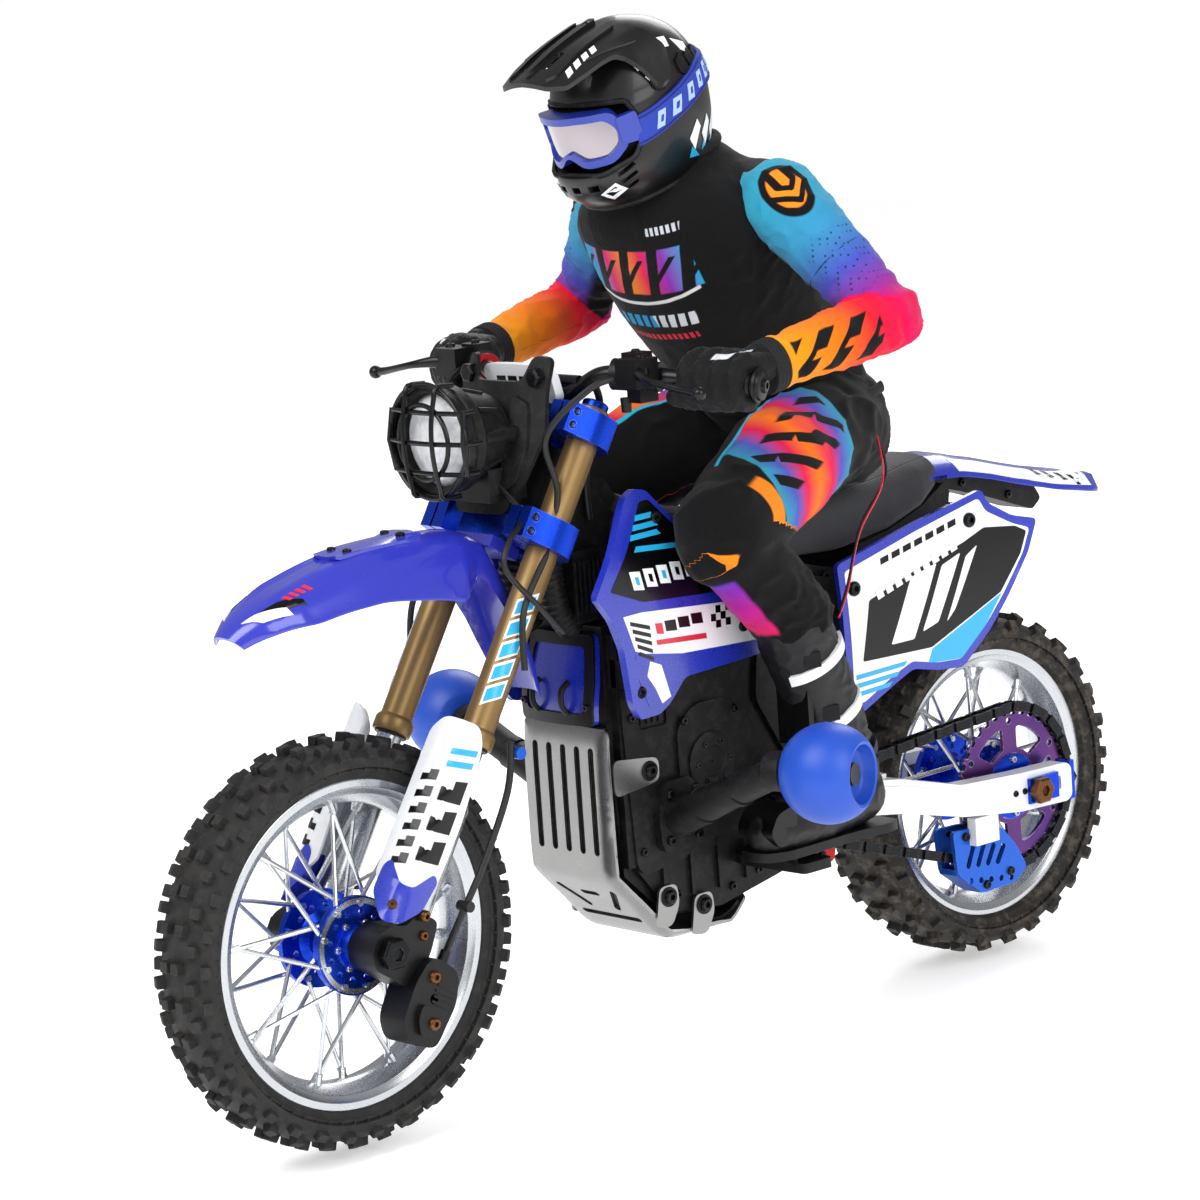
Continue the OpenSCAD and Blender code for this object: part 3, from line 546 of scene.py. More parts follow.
CYAN = plain("cyan_film", "#22a8dc", rough=0.3, coat=0.3, mottle=0.03)
FILM_WHITE = plain("white_film", "#f2f4f6", rough=0.3, coat=0.3, mottle=0.02)
FILM_BLACK = plain("black_film", "#060608", rough=0.22, coat=0.12, shine=0.3, mottle=0.05)
FILM_RED = plain("red_film", "#d2203a", rough=0.3, coat=0.3, mottle=0.03)


def brushed(name, base, stretch, rough=0.3):
    g = Graph(name)
    hair = g.noise(1.0, 2.0, 0.6, stretch)
    return g.finish(base, rough=rough, metal=0.95, mottle=0.06, bump=g.times(hair, 0.02),
                    wear="#f4f4f4", wear_amount=0.3)


STEEL = brushed("brushed_steel", "#989897", (0.05, 2.2, 2.2))


def rubber(name, base, dust):
    g = Graph(name)
    fine = g.noise(1.6, 4.0, 0.65)
    return g.finish(base, rough=0.72, mottle=0.25, grain=0.12, grain_size=0.5, bump=g.times(fine, 0.12), dust=dust,
                    wear="#4a4642", wear_amount=0.45)


TYRE = rubber("tyre_rubber", "#191919", 0.06)
TYRE_REAR = rubber("tyre_rubber_rear", "#1f1b17", 0.3)


# ------------------------------------------------------------------ wheels

FRONT_AXLE, REAR_AXLE = V(186, 0, 88), V(-186, 0, 82)


def turned(axle, phase):
    return Matrix.Translation(axle) @ Matrix.Rotation(phase, 4, "Y")


def knobby_tyre(axle, outer, bead, half, pitches, mat, name, body, node):
    """Round carcass with alternating centre pairs, shoulder pairs and leaning side knobs."""
    s = Shape()
    crown = outer - 6.2
    side = [(bead + 0.2, half - 7.5), (bead - 1.2, half - 9), (bead + 1.5, half - 4.6), (bead + 4, half - 3.4),
            (bead + 4.6, half - 2.6), (bead + 5.6, half - 2.5), (bead + 6.2, half - 3.0), (crown - 9, half - 1.0),
            (crown - 5, half - 1.6), (crown - 2.2, half - 5), (crown - 0.6, half * 0.35), (crown, 0)]
    back = [(r, -h) for r, h in side[-2::-1]]
    s.add(lathe(side + back, 120, "y", axle))
    for k in range(pitches):
        a = k * TAU / pitches
        h = TAU / pitches / 2
        odd = k % 2
        for sy in (-1, 1):
            knobs = [
                (crown - 1.6, 3.1 + 1.5 * odd, 0.02, a, (5.2, 5.2, 8.4)),
                (crown - 2.6, half * 0.56, 0.42, a + h, (5.4, 5.0, 8.2)),
                (crown - 5.4, half - 3.6, 0.95, a + 0.1 * h, (5.8, 4.6, 8.0 - 0.9 * odd)),
            ]
            for r, y, tilt, phase, size in knobs:
                jitter = rng.uniform(-0.25, 0.25)
                move = turned(axle, phase) @ Matrix.Translation((0, sy * y, r + jitter
                                                                 * 0.5)) @ Matrix.Rotation(-sy * tilt, 4, "X")
                s.add(block((size[0] * outer / 88, size[1] * half / 16, size[2]), (0, 0, 0.6), 0.86), 0, move)
    for sy in (-1, 1):
        for k in range(pitches * 2):
            move = turned(axle, (k + 0.5) * TAU / pitches / 2) @ Matrix.Translation((0,
                    sy * (half - 1.7), crown - 8.6))
            s.add(block((0.7, 1.0, 4.2)), 0, move)
    make(name, s, [mat], body, [node], bevel=0.35, segments=1, sharp=40)


def rim_and_spokes(axle, rim_r, half, name, body, barrel, flange_y):
    s = Shape()
    outer = [(rim_r + 0.8, half), (rim_r + 1.6, half - 0.5), (rim_r + 1.6, half - 1.6), (rim_r - 0.4, half - 2.4),
             (rim_r - 2.4, half - 3),
             (rim_r - 4.6, 4.6), (rim_r - 4.6, -4.6), (rim_r - 2.4, 3 - half), (rim_r - 0.4, 2.4 - half),
             (rim_r + 1.6, 1.6 - half),
             (rim_r + 1.6, 0.5 - half), (rim_r + 0.8, -half), (rim_r - 2.0, -half), (rim_r - 3.2, 0.9 - half),
             (rim_r - 5.0, 1.6 - half), (rim_r - 8.6, -4.6),
             (rim_r - 9.4, -2.6), (rim_r - 9.4, 2.6), (rim_r - 8.6, 4.6), (rim_r - 5.0, half - 1.6),
             (rim_r - 3.2, half - 0.9), (rim_r - 2.0, half)]
    s.add(lathe(outer, 144, "y", axle))
    s.add(rod((axle.x - 2, 3, axle.z + rim_r - 12), (axle.x - 2, 3, axle.z + rim_r - 6), 1.5, n=12))
    make(name + "_rim_shell", s, [CHROME], body, [name + "_rim"], bevel=0.25)
    s = Shape()
    per = 9
    for side in (-1, 1):
        for k in range(per):
            for lean in (-1, 1):
                a = (k + 0.25 * side) * TAU / per
                b = a + lean * radians(41)
                a2 = a + lean * radians(9)
                p = axle + V(17.4 * cos(a2), side * (flange_y + lean * 1.1), 17.4 * sin(a2))
                q = axle + V((rim_r - 7.6) * cos(b), side * (3.4 - lean * 0.5), (rim_r - 7.6) * sin(b))
                d = (q - p).normalized()
                s.add(rod(p, q, 1.0, n=10))
                s.add(rod(q - d * 5.4, q + d * 1.4, 1.75, 1.6, n=8))
                head = p - V(0, side * lean * 0.2, 0)
                s.add(rod(head - V(0, 1.9, 0), head + V(0, 1.9, 0), 1.35, n=12))
    make(name + "_spoke_set", s, [SPOKE], body, [name + "_spokes"])
    # hub: drilled flanges on a waisted barrel
    s = Shape()
    prof = [(4.2, -barrel - 1), (7.8, -barrel - 1), (9.0, -barrel + 1), (9.4, -barrel + 4), (11.5, -flange_y - 1.2),
            (11.5, -flange_y + 1.4),
            (8.2, -flange_y + 3.4), (7.2, 0), (8.2, flange_y - 3.4), (11.5, flange_y - 1.4), (11.5, flange_y + 1.2),
            (9.4, barrel - 4), (9.0, barrel - 1), (7.8, barrel + 1), (4.2, barrel + 1)]
    s.add(lathe(prof, 64, "y", axle), 0)
    holes = [disc(13.9 * cos((i + 0.5) * TAU / 12), 13.9 * sin((i + 0.5) * TAU / 12), 1.35, 12) for i in range(12)]
    for side in (-1, 1):
        s.add(panel(disc(0, 0, 20.4, 72), side * flange_y - 1.4, side * flange_y + 1.4,
                    lambda u, v, w: axle + V(u, w, v), [disc(0, 0, 10.2, 48)] + holes), 0)
        s.add(lathe([(17.4, side * (flange_y + 1.3)), (19.6, side * (flange_y + 1.3)),
                     (19.6, side * (flange_y + 2.0)), (17.4, side * (flange_y + 2.0))], 64, "y", axle), 1)
        for i in range(6):
            a = i * TAU / 6
            at = axle + V(9.9 * cos(a), side * (flange_y + 1.2), 9.9 * sin(a))
            s.add(screw(at, (0, side, 0), 1.5, 1.2, 14), 1)
    make(name + "_hub_body", s, [ANODISED, CHROME], body, [name + "_hub"], bevel=0.25)


knobby_tyre(FRONT_AXLE, 88, 66.5, 16.5, 34, TYRE, "front_tyre_knobs", "front_wheel", "front_tyre")
knobby_tyre(REAR_AXLE, 82, 61, 21, 28, TYRE_REAR, "rear_tyre_knobs", "rear_wheel", "rear_tyre")
rim_and_spokes(FRONT_AXLE, 66.5, 11.5, "front", "front_wheel", 17, 11.5)
rim_and_spokes(REAR_AXLE, 61, 14, "rear", "rear_wheel", 19, 13)


# ------------------------------------------------------------------ front end

RAKE = radians(32)


def fork(x, y, s):
    """A place in the fork's frame: x ahead of the legs' line, s up from the axle."""
    return V(186 + x * cos(RAKE) - s * sin(RAKE), y, 88 + x * sin(RAKE) + s * cos(RAKE))


FORK_M = Matrix.Translation(FRONT_AXLE) @ Matrix.Rotation(-RAKE, 4, "Y")


def clamp(s0, s1, ahead, name, node, top):
    half = [(-7 + ahead * 0.2, 0), (-6 + ahead * 0.2, 10), (1, 17.6), (ahead, 19.6), (ahead, 25.4)]
    arc = [(-10 + 6.9 * cos(radians(-5 - i * 10)), 26 + 6.9 * sin(radians(-5 - i * 10))) for i in range(36)]
    rest = [(ahead, 26.6), (ahead, 32.4), (0, 34.6), (-4, 36.6), (-10, 37.6), (-16, 36.4), (-20.5, 31.5), (-23, 22),
            (-28.5, 10), (-29.5, 0)]
    right = half + arc + rest
    outline = right + [(x, -y) for x, y in right[-2:0:-1]]
    s = Shape()
    lighten = [round_off([(-11, 5), (-6, 13), (-12, 16.5), (-18, 11.5), (-17, 6)], 1.5)]
    lighten += [[(x, -y) for x, y in h[::-1]] for h in lighten]
    s.add(panel(outline, s0, s1, lambda u, v, w: fork(u, v, w), lighten))
    for y in (-1, 1):
        for k in (0.27, 0.73):
            s.add(screw(fork(ahead - 3.2, y * 32.3, lerp(s0, s1, k)), (0, y, 0), 1.9, 1.5, 18), 1)
            s.add(rod(fork(ahead - 3.2, y * 24.5, lerp(s0, s1, k)), fork(ahead - 3.2, y * 27.6,
                    lerp(s0, s1, k)), 1.4, n=12), 1)
    if top:
        s.add(lathe([(0.6, s1), (6.6, s1), (6.6, s1 + 1.2), (5.6, s1 + 2.0), (0.6, s1 + 2.0)], 40, "z"), 1,
              FORK_M @ Matrix.Translation((-19, 0, 0)))
        s.add(screw(fork(-19, 0, s1 + 1.8), fork(0, 0, 1) - fork(0, 0, 0), 3.6, 2.4, 18), 1)
    else:
        s.add(rod(fork(-19, 0, s0 + 1), fork(-19, 0, 239), 4.0), 1)
        for y in (-1, 1):
            s.add(screw(fork(-2, y * 9, s0 + 0.2), fork(0, 0, -1) - fork(0, 0, 0), 1.8, 1.5, 14), 1)
    make(name, s, [ANODISED, SCREW], "steering", [node], bevel=0.5)


clamp(178, 191, 8.5, "lower_triple_clamp", "lower_clamp", False)
clamp(226, 239, 7.0, "upper_triple_clamp", "upper_clamp", True)

tubes = Shape()
for y in (-26, 26):
    at = FORK_M @ Matrix.Translation((-10, y, 0))
    tubes.add(lathe([(5.5, 92), (8.0, 92), (8.3, 92.6), (8.3, 97.4), (7.7, 98.6), (6.9, 99.4), (6.8, 100.5),
                     (6.8, 241.4), (6.3, 242),
                     (5.5, 242)], 56, "z"), 0, at)
    tubes.add(lathe([(5.4, 91), (6.9, 91), (6.9, 92.1), (5.4, 92.1)], 48, "z"), 1, at)
    tubes.add(lathe([(0.4, 241), (5.6, 241), (5.6, 244.6), (5.0, 245.2), (2.6, 245.2), (2.6, 244.2),
                     (0.4, 244.2)], 40, "z"), 2, at)

# plain slanted bars wrapped round the front of each tube
wrap = Shape()
for y in (-26, 26):
    def on_tube(t, s, w):
        a = t / 6.8
        return fork(-10 + (6.85 + w) * cos(a), y + (6.85 + w) * sin(a) * (1 if y > 0 else -1), s)

    for k in range(5):
        s0 = 108 + k * 9.6
        wrap.add(panel([(3, s0), (11, s0 + 6), (11, s0 + 14), (3, s0 + 8)], 0, 0.16, on_tube, step=2), 1)
        wrap.add(panel([(3.8, s0 + 1.6), (10.2, s0 + 6.4), (10.2, s0 + 12), (3.8, s0 + 7.2)], 0.16,
                       0.28, on_tube, step=2), 0)
make("fork_tube_wraps", wrap, [CYAN, FILM_WHITE], "steering")
make("fork_outer_tubes", tubes, [GOLD, BLACK, ANODISED], "steering", ["fork_tubes"], bevel=0.2)

legs = Shape()
for y in (-26, 26):
    at = FORK_M @ Matrix.Translation((-10, y, 0))
    legs.add(lathe([(0.5, -4), (7.8, -4), (7.8, 66), (6.6, 69), (5.4, 69), (5.4, 150), (0.5, 150)], 48, "z"), 0, at)
    lug = round_off([(-9, -10), (14, -9), (19, -3), (19, 4), (14, 10), (6, 13), (4, 20), (-8, 20), (-10, 8)], 3)
    legs.add(panel(lug, y - 8.2, y + 8.2, lambda u, v, w: fork(u - 10, w, v), [disc(10, 0, 3.2, 24)]), 1)
    legs.add(screw(fork(-13, y * 1.315, 12), (0, y, 0), 2.1, 1.5), 2)
make("fork_lower_legs", legs, [CHROME, BLACK, BRONZE], "fork_lower", ["fork_sliders"], bevel=0.5)


def guard_place(side):
    """Wraps a strip (t, s) round the outside and the front of a fork leg."""
    path = [(7.6, 18.5), (8.2, 21), (8.4, 27), (7.4, 31.6), (4.2, 34.6), (0, 35.2), (-5, 35.1), (-9.5, 34.4)]
    pts = curve([V(a, b, 0) for a, b in path], 6)
    lengths = [0.0]
    for a, b in zip(pts, pts[1:]):
        lengths.append(lengths[-1] + (b - a).length)

    def place(t, s, w):
        t = max(0.0, min(lengths[-1] - 1e-6, t))
        i = max(k for k, l in enumerate(lengths[:-1]) if l <= t)
        p = pts[i].lerp(pts[i + 1], (t - lengths[i]) / (lengths[i + 1] - lengths[i]))
        d = (pts[i + 1] - pts[i]).normalized()
        n = V(-d.y, d.x, 0) * -1
        rib = 0.9 * bell(t, 31, 2.6) * smooth((s - 30) / 12) * smooth((92 - s) / 8)
        q = p + n * (w + rib)
        return fork(q.x, q.y * side, s)

    return place, lengths[-1]


guards, marks = Shape(), Shape()
for side in (-1, 1):
    place, long_ = guard_place(side)
    outline = round_off([(1, 30), (3, 92), (9, 98), (long_ - 8, 98.5), (long_ - 3, 92), (long_, 60),
                         (long_ - 1, 32), (long_ - 9, 24), (12, 24), (4, 26)], 3)
    guards.add(panel(outline, 0, 1.5, place, step=4), 0)
    foot = round_off([(4, 22), (5, 33), (9, 36), (15, 27), (long_ - 12, 27), (long_ - 4, 36), (long_ - 1, 33),
                      (long_ - 4, 20), (long_ - 12, 12), (14, 10)], 2.5)
    guards.add(panel(foot, -1.2, 1.9, place, step=4), 1)
    guards.add(screw(place(30, 19, 1.8), place(30, 19, 3) - place(30, 19, 1), 2.5, 1.7), 2)
    guards.add(screw(place(15, 18, 1.8), place(15, 18, 3) - place(15, 18, 1), 2.0, 1.5), 2)
    # plain slanted bars and blocks down the guard
    lean, t0, t1 = 1.8, 17, 27.5
    for s0 in (38, 51, 64):
        s1 = s0 + 10
        marks.add(panel([(t0, s0), (t1, s0 + lean), (t1, s1 + lean - 0.2), (t0 + 4.6, s1 - 0.2), (t0 + 4.6, s1 - 4),
                         (t0, s1 - 4)], 1.5, 1.72, place, step=3), 0)
    for k in range(6):
        s0 = 34 + k * 7.2
        marks.add(panel([(8, s0), (14.4, s0 + 1.4), (14.4, s0 + 5.8), (11.4, s0 + 5.2), (11.4, s0 + 3.4),
                         (8, s0 + 3)], 1.5, 1.7, place, step=3), 0)
    for k in range(2):
        marks.add(panel([(16, 78 + k * 5.4), (27, 81 + k * 5.4), (27, 83.6 + k * 5.4), (16, 80.6 + k * 5.4)], 1.5,
                        1.72, place, step=3), 1)
make("fork_guard_shells", guards, [WHITE, BLUE, BRONZE], "fork_lower", ["fork_guards"], bevel=0.35)
make("fork_guard_marks", marks, [FILM_BLACK, CYAN], "fork_lower")

caliper = Shape()
body = round_off([(-36, -28), (-22, -31), (-15, -24), (-14, -8), (-16.5, 3), (-22, 6), (-34, 4), (-38, -8)], 4)
caliper.add(panel(body, 23, 39, lambda u, v, w: fork(u, w, v), [disc(-26, -10, 2.2)]), 0)
caliper.add(panel(round_off([(-33, -24), (-24, -26), (-20, -20), (-20, -14), (-33, -13)], 2), 38.6, 41.2, lambda u,
                  v, w: fork(u, w, v)), 0)
for x, z in ((-28.5, -19.5), (-22, -2)):
    caliper.add(screw(fork(x, 41 if z < -10 else 39, z), (0, 1, 0), 2.7, 1.7), 1)
caliper.add(rod(fork(-30, 31, 4), fork(-30, 31, 11), 2.6, 2.2), 0)
for k in range(4):
    caliper.add(block((10, 1.0, 1.1)), 0, FORK_M @ Matrix.Translation((-30, 39, -4 - k * 2.4)))
make("front_brake_block", caliper, [BLACK, BRONZE], "fork_lower", ["brake_caliper"], bevel=0.5)

axle = Shape()
axle.add(rod((186, -37, 88), (186, 38, 88), 3.0))
for side in (-1, 1):
    axle.add(lathe([(3, side * 17.8), (5.4, side * 17.8), (5.4, side * 18.6),
                    (3, side * 18.6)], 32, "y", FRONT_AXLE))
    axle.add(lathe([(0.5, side * 35), (6.6, side * 35), (6.9, side * 35.6), (6.9, side * 38.4), (6.0, side * 39.2),
                    (3.0, side * 39.2), (2.6, side * 37.6), (0.5, side * 37.6)], 6, "y", FRONT_AXLE))
make("front_axle_bolt", axle, [SCREW], "fork_lower", ["front_axle"], bevel=0.4)

# cables: down the back of each leg, and the loops round the headlight
cables = Shape()
for side in (-1, 1):
    path = [fork(-19.5, side * 37, 99), fork(-26.5, side * 37.4, 80), fork(-27.5, side * 37.6, 50),
            fork(-27, side * 36, 25), fork(-30, side * 31, 9)]
    cables.add(tube(curve(path), 1.5, 10))
    cables.add(tube([fork(-24.5, side * 34.5, 96), fork(-24.5, side * 40, 96)], 2.6, 12), 1)
    cables.add(tube([fork(-27, side * 33, 30), fork(-27, side * 39.8, 30)], 2.3, 12), 0)
make("fork_leg_cables", cables, [CABLE, GUIDE_BLUE], "fork_lower")

cables = Shape()
cables.add(tube(curve([(52, 50, 303), (66, 44, 300), (80, 30, 281), (76, 30, 258), (84, 31, 236), fork(-4, 35, 150),
                       fork(-14, 36.4, 128)], 8), 1.4, 10))
cables.add(tube(curve([(52, -50, 303), (68, -44, 299), (82, -31, 280), (77, -31, 258), (84, -31, 236),
                       fork(-4, -35, 150), fork(-14, -36.4, 128)], 8), 1.4, 10))
cables.add(tube(curve([(92, 12, 262), (92, 26, 250), (106, 33, 243), (112, 36, 232), (96, 36, 214),
                       (80, 32, 200)], 8), 1.2, 10))
cables.add(tube(curve([(52, 30, 300), (44, 24, 290), (40, 15, 276), (44, 12, 258), (42, 10, 240)], 8), 1.6, 10))
cables.add(tube(curve([(48, -30, 300), (40, -24, 292), (36, -14, 276), (38, -12, 255), (40, -9, 240)], 8), 1.6, 10))
make("front_cables", cables, [CABLE], "steering")


# front fender: one arched shell from the tip to the tail behind the tyre
CREST = curve([V(231, 0, 221.5), V(222, 0, 228.6), V(209, 0, 235), V(196, 0, 239), V(180, 0, 242.8),
               V(160, 0, 245.8), V(140, 0, 247.2), V(124, 0, 247.4),
               V(110, 0, 245.4), V(99, 0, 239.4), V(92.5, 0, 228), V(86.5, 0, 213), V(81, 0, 198),
               V(77, 0, 185), V(74, 0, 173)], 6)
CREST_S = [0.0]
for p, q in zip(CREST, CREST[1:]):
    CREST_S.append(CREST_S[-1] + (q - p).length)
FENDER_LONG = CREST_S[-1]


def table(rows, x):
    """Straight-line reading of a table of (x, value) rows."""
    if x <= rows[0][0]:
        return rows[0][1]
    for (a, p), (b, q) in zip(rows, rows[1:]):
        if x <= b:
            return p + (q - p) * (x - a) / (b - a)
    return rows[-1][1]


FENDER_HALF = [(0, 9), (10, 15), (26, 19.5), (60, 21.5), (95, 21.5), (120, 20.5), (133, 17), (150, 16),
               (185, 15.5), (FENDER_LONG, 12)]
FENDER_DROP = [(0, 5), (16, 9), (34, 14), (70, 18), (100, 24), (117, 27), (132, 21), (150, 12),
               (175, 7), (FENDER_LONG, 4)]


def fender_place(u, v, w):
    u = max(0.0, min(FENDER_LONG - 1e-4, u))
    i = max(k for k in range(len(CREST_S) - 1) if CREST_S[k] <= u)
    t = (u - CREST_S[i]) / (CREST_S[i + 1] - CREST_S[i])
    p = CREST[i].lerp(CREST[i + 1], t)
    before = (CREST[i] - CREST[max(i - 1, 0)]).normalized()
    here = (CREST[i + 1] - CREST[i]).normalized()
    d = before.lerp(here, 0.5 + t / 2).normalized()
    n = V(d.z, 0, -d.x)
    half = table(FENDER_HALF, u)
    r = min(1.05, abs(v) / half)
    front = smooth((118 - u) / 20)
    drop = table(FENDER_DROP, u) * (0.35 * r ** 2 + 0.65 * r ** 5)
    ridge = front * (1.5 * bell(abs(v), 7.2, 1.5) * smooth((u - 12) / 22) - 1.0 * bell(abs(v), 13.5, 1.6)
                     * smooth((u - 30) / 20))
    return p + V(0, v, 0) + n * (ridge + w - drop)


def strip(rows, long_, start=0.0, inset=0.0, step=4):
    """Outline in (u, v) of a strip whose half width comes from a table."""
    n = int((long_ - start) / step)
    side = [(start + (long_ - start) * i / n, table(rows, start + (long_ - start) * i / n) - inset)
            for i in range(n + 1)]
    return side + [(u, -v) for u, v in side[::-1]]


fender = Shape()
outline = strip(FENDER_HALF, FENDER_LONG)
fender.add(panel(outline, -1.5, 0, fender_place, step=2.6), 0)
fender.add(panel(round_off([(60, -8), (60, 8), (104, 10), (104, -10)], 2), 0, 1.6, fender_place, step=4), 0)
for u in (68, 96):
    for y in (-5, 5):
        fender.add(screw(fender_place(u, y, 1.5), (0, 0, 1), 1.9, 1.2, 16), 1)
fender.add(block((16, 24, 5)), 0, FORK_M @ Matrix.Translation((-2, 0, 175.4)))
make("front_fender_shell", fender, [VIOLET, SCREW], "steering", ["front_fender"], sharp=50)
marks = Shape()
for side in (-1, 1):
    marks.add(panel([(8, side * 5.6), (13, side * 12.6), (25, side * 17), (25, side * 14.6), (14, side * 8)], 0.0,
                    0.25, fender_place, step=2), 1)
    marks.add(panel([(14, side * 8.4), (25, side * 15), (34, side * 16.6), (34, side * 14.8), (24, side * 10.6)],
                    0.0, 0.2, fender_place, step=2), 0)
    for k in range(4):
        marks.add(panel([(27 + 3.6 * k, side * 10.4), (29 + 3.6 * k, side * 10.4), (30.6 + 3.6 * k, side * 13.2),
                         (28.6 + 3.6 * k, side * 13.2)], 0.1, 0.32, fender_place, step=2), 2)
make("front_fender_marks", marks, [FILM_BLACK, FILM_WHITE, FILM_RED], "steering", sharp=50)


# headlight: ribbed bowl, wire cage, textured lens, mask plate with its ears
LAMP = V(113, 0, 283)
lamp = Shape()
lamp.add(lathe([(0.5, -30), (13, -29), (16, -26), (17, -22), (20.5, -10), (21.6, -8), (22.6, -7.2), (22.6, -3.2),
                (21.8, -2.6), (21.8, 0.5), (22.6, 1.0), (22.6, 2.6),
                (20.4, 2.9), (19.6, 0), (18, -4), (0.5, -8)], 96, "x", LAMP), 0)
for k in range(10):
    a = k * TAU / 10
    lamp.add(rod(LAMP + V(-21, 17.6 * cos(a), 17.6 * sin(a)), LAMP + V(-9, 20.9 * cos(a),
            20.9 * sin(a)), 0.9, n=8), 0)


def mask_place(u, v, w):
    """The mask plate leans with the fork and bows back at the sides; u across, v up."""
    back = 0.011 * u * u
    return V(92 - (v - 262) * 0.30 - back + w, u, v)


mask = round_off([(-15, 250), (15, 250), (21, 262), (27, 282), (25, 298), (25.5, 312), (18, 313.5), (14, 303),
                  (-14, 303), (-18, 313.5), (-25.5, 312),
                  (-25, 298), (-27, 282), (-21, 262)], 3)
lamp.add(panel(mask, -2.2, 0, mask_place, step=4), 0)
for side in (-1, 1):
    lamp.add(lathe([(0.4, -1), (4.2, -1), (4.2, 2.2), (3.2, 2.8), (0.4, 2.8)], 6, "x",
                   mask_place(side * 20.5, 305, 0.6)), 1)
    lamp.add(panel(round_off([(side * 12, 258), (side * 19, 262), (side * 22, 276), (side * 20, 294),
                              (side * 13, 298)], 2), 0, 2.2, mask_place, step=4), 0)
    lamp.add(rod(mask_place(side * 15, 283, 0), LAMP + V(-8, side * 19.5, 0), 3.4, 2.6, 16), 0)
lamp.add(block((20, 26, 14), (88, 0, 262)), 0)
make("headlight_housing", lamp, [NYLON, SCREW], "steering", ["headlight_bowl"], bevel=0.35)

cage = Shape()
wire = 1.05


def cage_x(y, z):
    return LAMP.x + 9.5 - 0.0085 * (y * y + z * z)


cage.add(lathe([(22.2, 2.0), (23.4, 2.0), (23.4, 4.2), (22.2, 4.2)], 72, "x", LAMP))
for z in (-12.5, 0, 12.5):
    w = sqrt(24.5 ** 2 - z * z)
    pts = [V(LAMP.x - 3, -w, LAMP.z + z)] + [V(cage_x(y, z), y, LAMP.z + z) for y in [-w + 2 * w * k / 10
            for k in range(11)]] + [V(LAMP.x - 3, w, LAMP.z + z)]
    cage.add(tube(curve(pts, 3), wire, 10))
for y in (-9, 9):
    w = sqrt(24.5 ** 2 - y * y)
    pts = [V(LAMP.x - 3, y, LAMP.z - w)] + [V(cage_x(y, z) + 1.6, y, LAMP.z + z) for z in [-w + 2 * w * k / 10
            for k in range(11)]] + [V(LAMP.x - 3, y, LAMP.z + w)]
    cage.add(tube(curve(pts, 3), wire, 10))
for x, r in ((4.6, 23.8), (7.2, 15.5)):
    cage.add(tube([LAMP + V(x, r * cos(k * TAU / 48), r * sin(k * TAU / 48)) for k in range(49)], wire, 10))
for side in (-1, 1):
    cage.add(tube([V(cage_x(22, -13), side * 22.6, LAMP.z - 13), V(cage_x(23, 0) + 1, side * 23.4, LAMP.z),
                   V(cage_x(22, 13), side * 22.6, LAMP.z + 13)], wire, 10))
make("headlight_wire_cage", cage, [SATIN], "steering", ["headlight_cage"])

g = Graph("lens_clear")
cells = g.tree.nodes.new("ShaderNodeTexVoronoi")
cells.inputs["Scale"].default_value = 0.42
g.tree.links.new(g.pos, cells.inputs["Vector"])
col = g.mix(g.step(cells.outputs["Distance"], 0.9, 0.7), "#f4f6f8", "#d2d7dc")
LENS = g.finish(col, rough=0.3, metal=0.0, mottle=0.05, bump=g.times(cells.outputs["Distance"], 0.35), coat=1.0)
lens = Shape()
lens.add(lathe([(0.3, -4.5), (16, -4.2), (19.4, -3), (19.4, -1.4), (16, 1.0), (10, 2.8),
                (0.3, 3.6)], 96, "x", LAMP))
make("headlight_lens_disc", lens, [LENS], "steering", ["headlight_lens"], sharp=60)

# handlebar, grips, pad, controls
bar = Shape()
left = curve([V(56, 4, 294), V(56, 15, 294.2), V(54.6, 26, 298.6), V(52.4, 36, 303.2), V(47, 48, 303.4),
              V(36, 70, 301), V(23, 97, 297.6)], 8)
whole = [V(p.x, -p.y, p.z) for p in left[::-1]] + left
bar.add(tube(whole, 3.6, 20), 0)
bar.add(tube([(56, -26, 301), (56, 26, 301)], 2.2, 14), 0)
for side in (-1, 1):
    d = (V(22, 99, 297.5) - V(34.5, 72, 299.9)).normalized()
    a, b = V(36.5, 68, 300.4), V(23, 97, 297.8)
    ribs = [lerp(a, b, k / 28) for k in range(29)]
    if side < 0:
        ribs = [V(p.x, -p.y, p.z) for p in ribs]
        d = V(d.x, -d.y, d.z)
    bar.add(tube(ribs, [5.0 + 0.5 * (k % 2) for k in range(29)], 24), 1)
    end = ribs[-1]
    bar.add(tube([end, end + d * 1.0, end + d * 1.2, end + d * 2.6, end + d * 3.0],
                 [7.2, 7.2, 6.4, 6.2, 5.2], 36), 1)
    bar.add(screw(end + d * 2.8, d, 3.2, 1.6), 2)
    bar.add(tube([ribs[0] - d * 0.5, ribs[0] + d * 1.4], [6.8, 6.6], 28), 1)
    bar.add(block((13, 7.4, 12), (56.4, side * 12.5, 292.6)), 3)
    bar.add(screw((59.5, side * 12.5, 298.4), (0, 0, 1), 1.8, 1.4), 2)
    bar.add(screw((53.0, side * 12.5, 298.4), (0, 0, 1), 1.8, 1.4), 2)
make("handlebar_tube", bar, [SATIN, BLACK, SCREW, ANODISED], "steering", ["handlebar"], bevel=0.3)

pad = Shape()


def pad_place(u, v, w):
    return V(61.2 + 0.33 * v + w, u, 300 + v * 0.95 - 0.0016 * u * u)


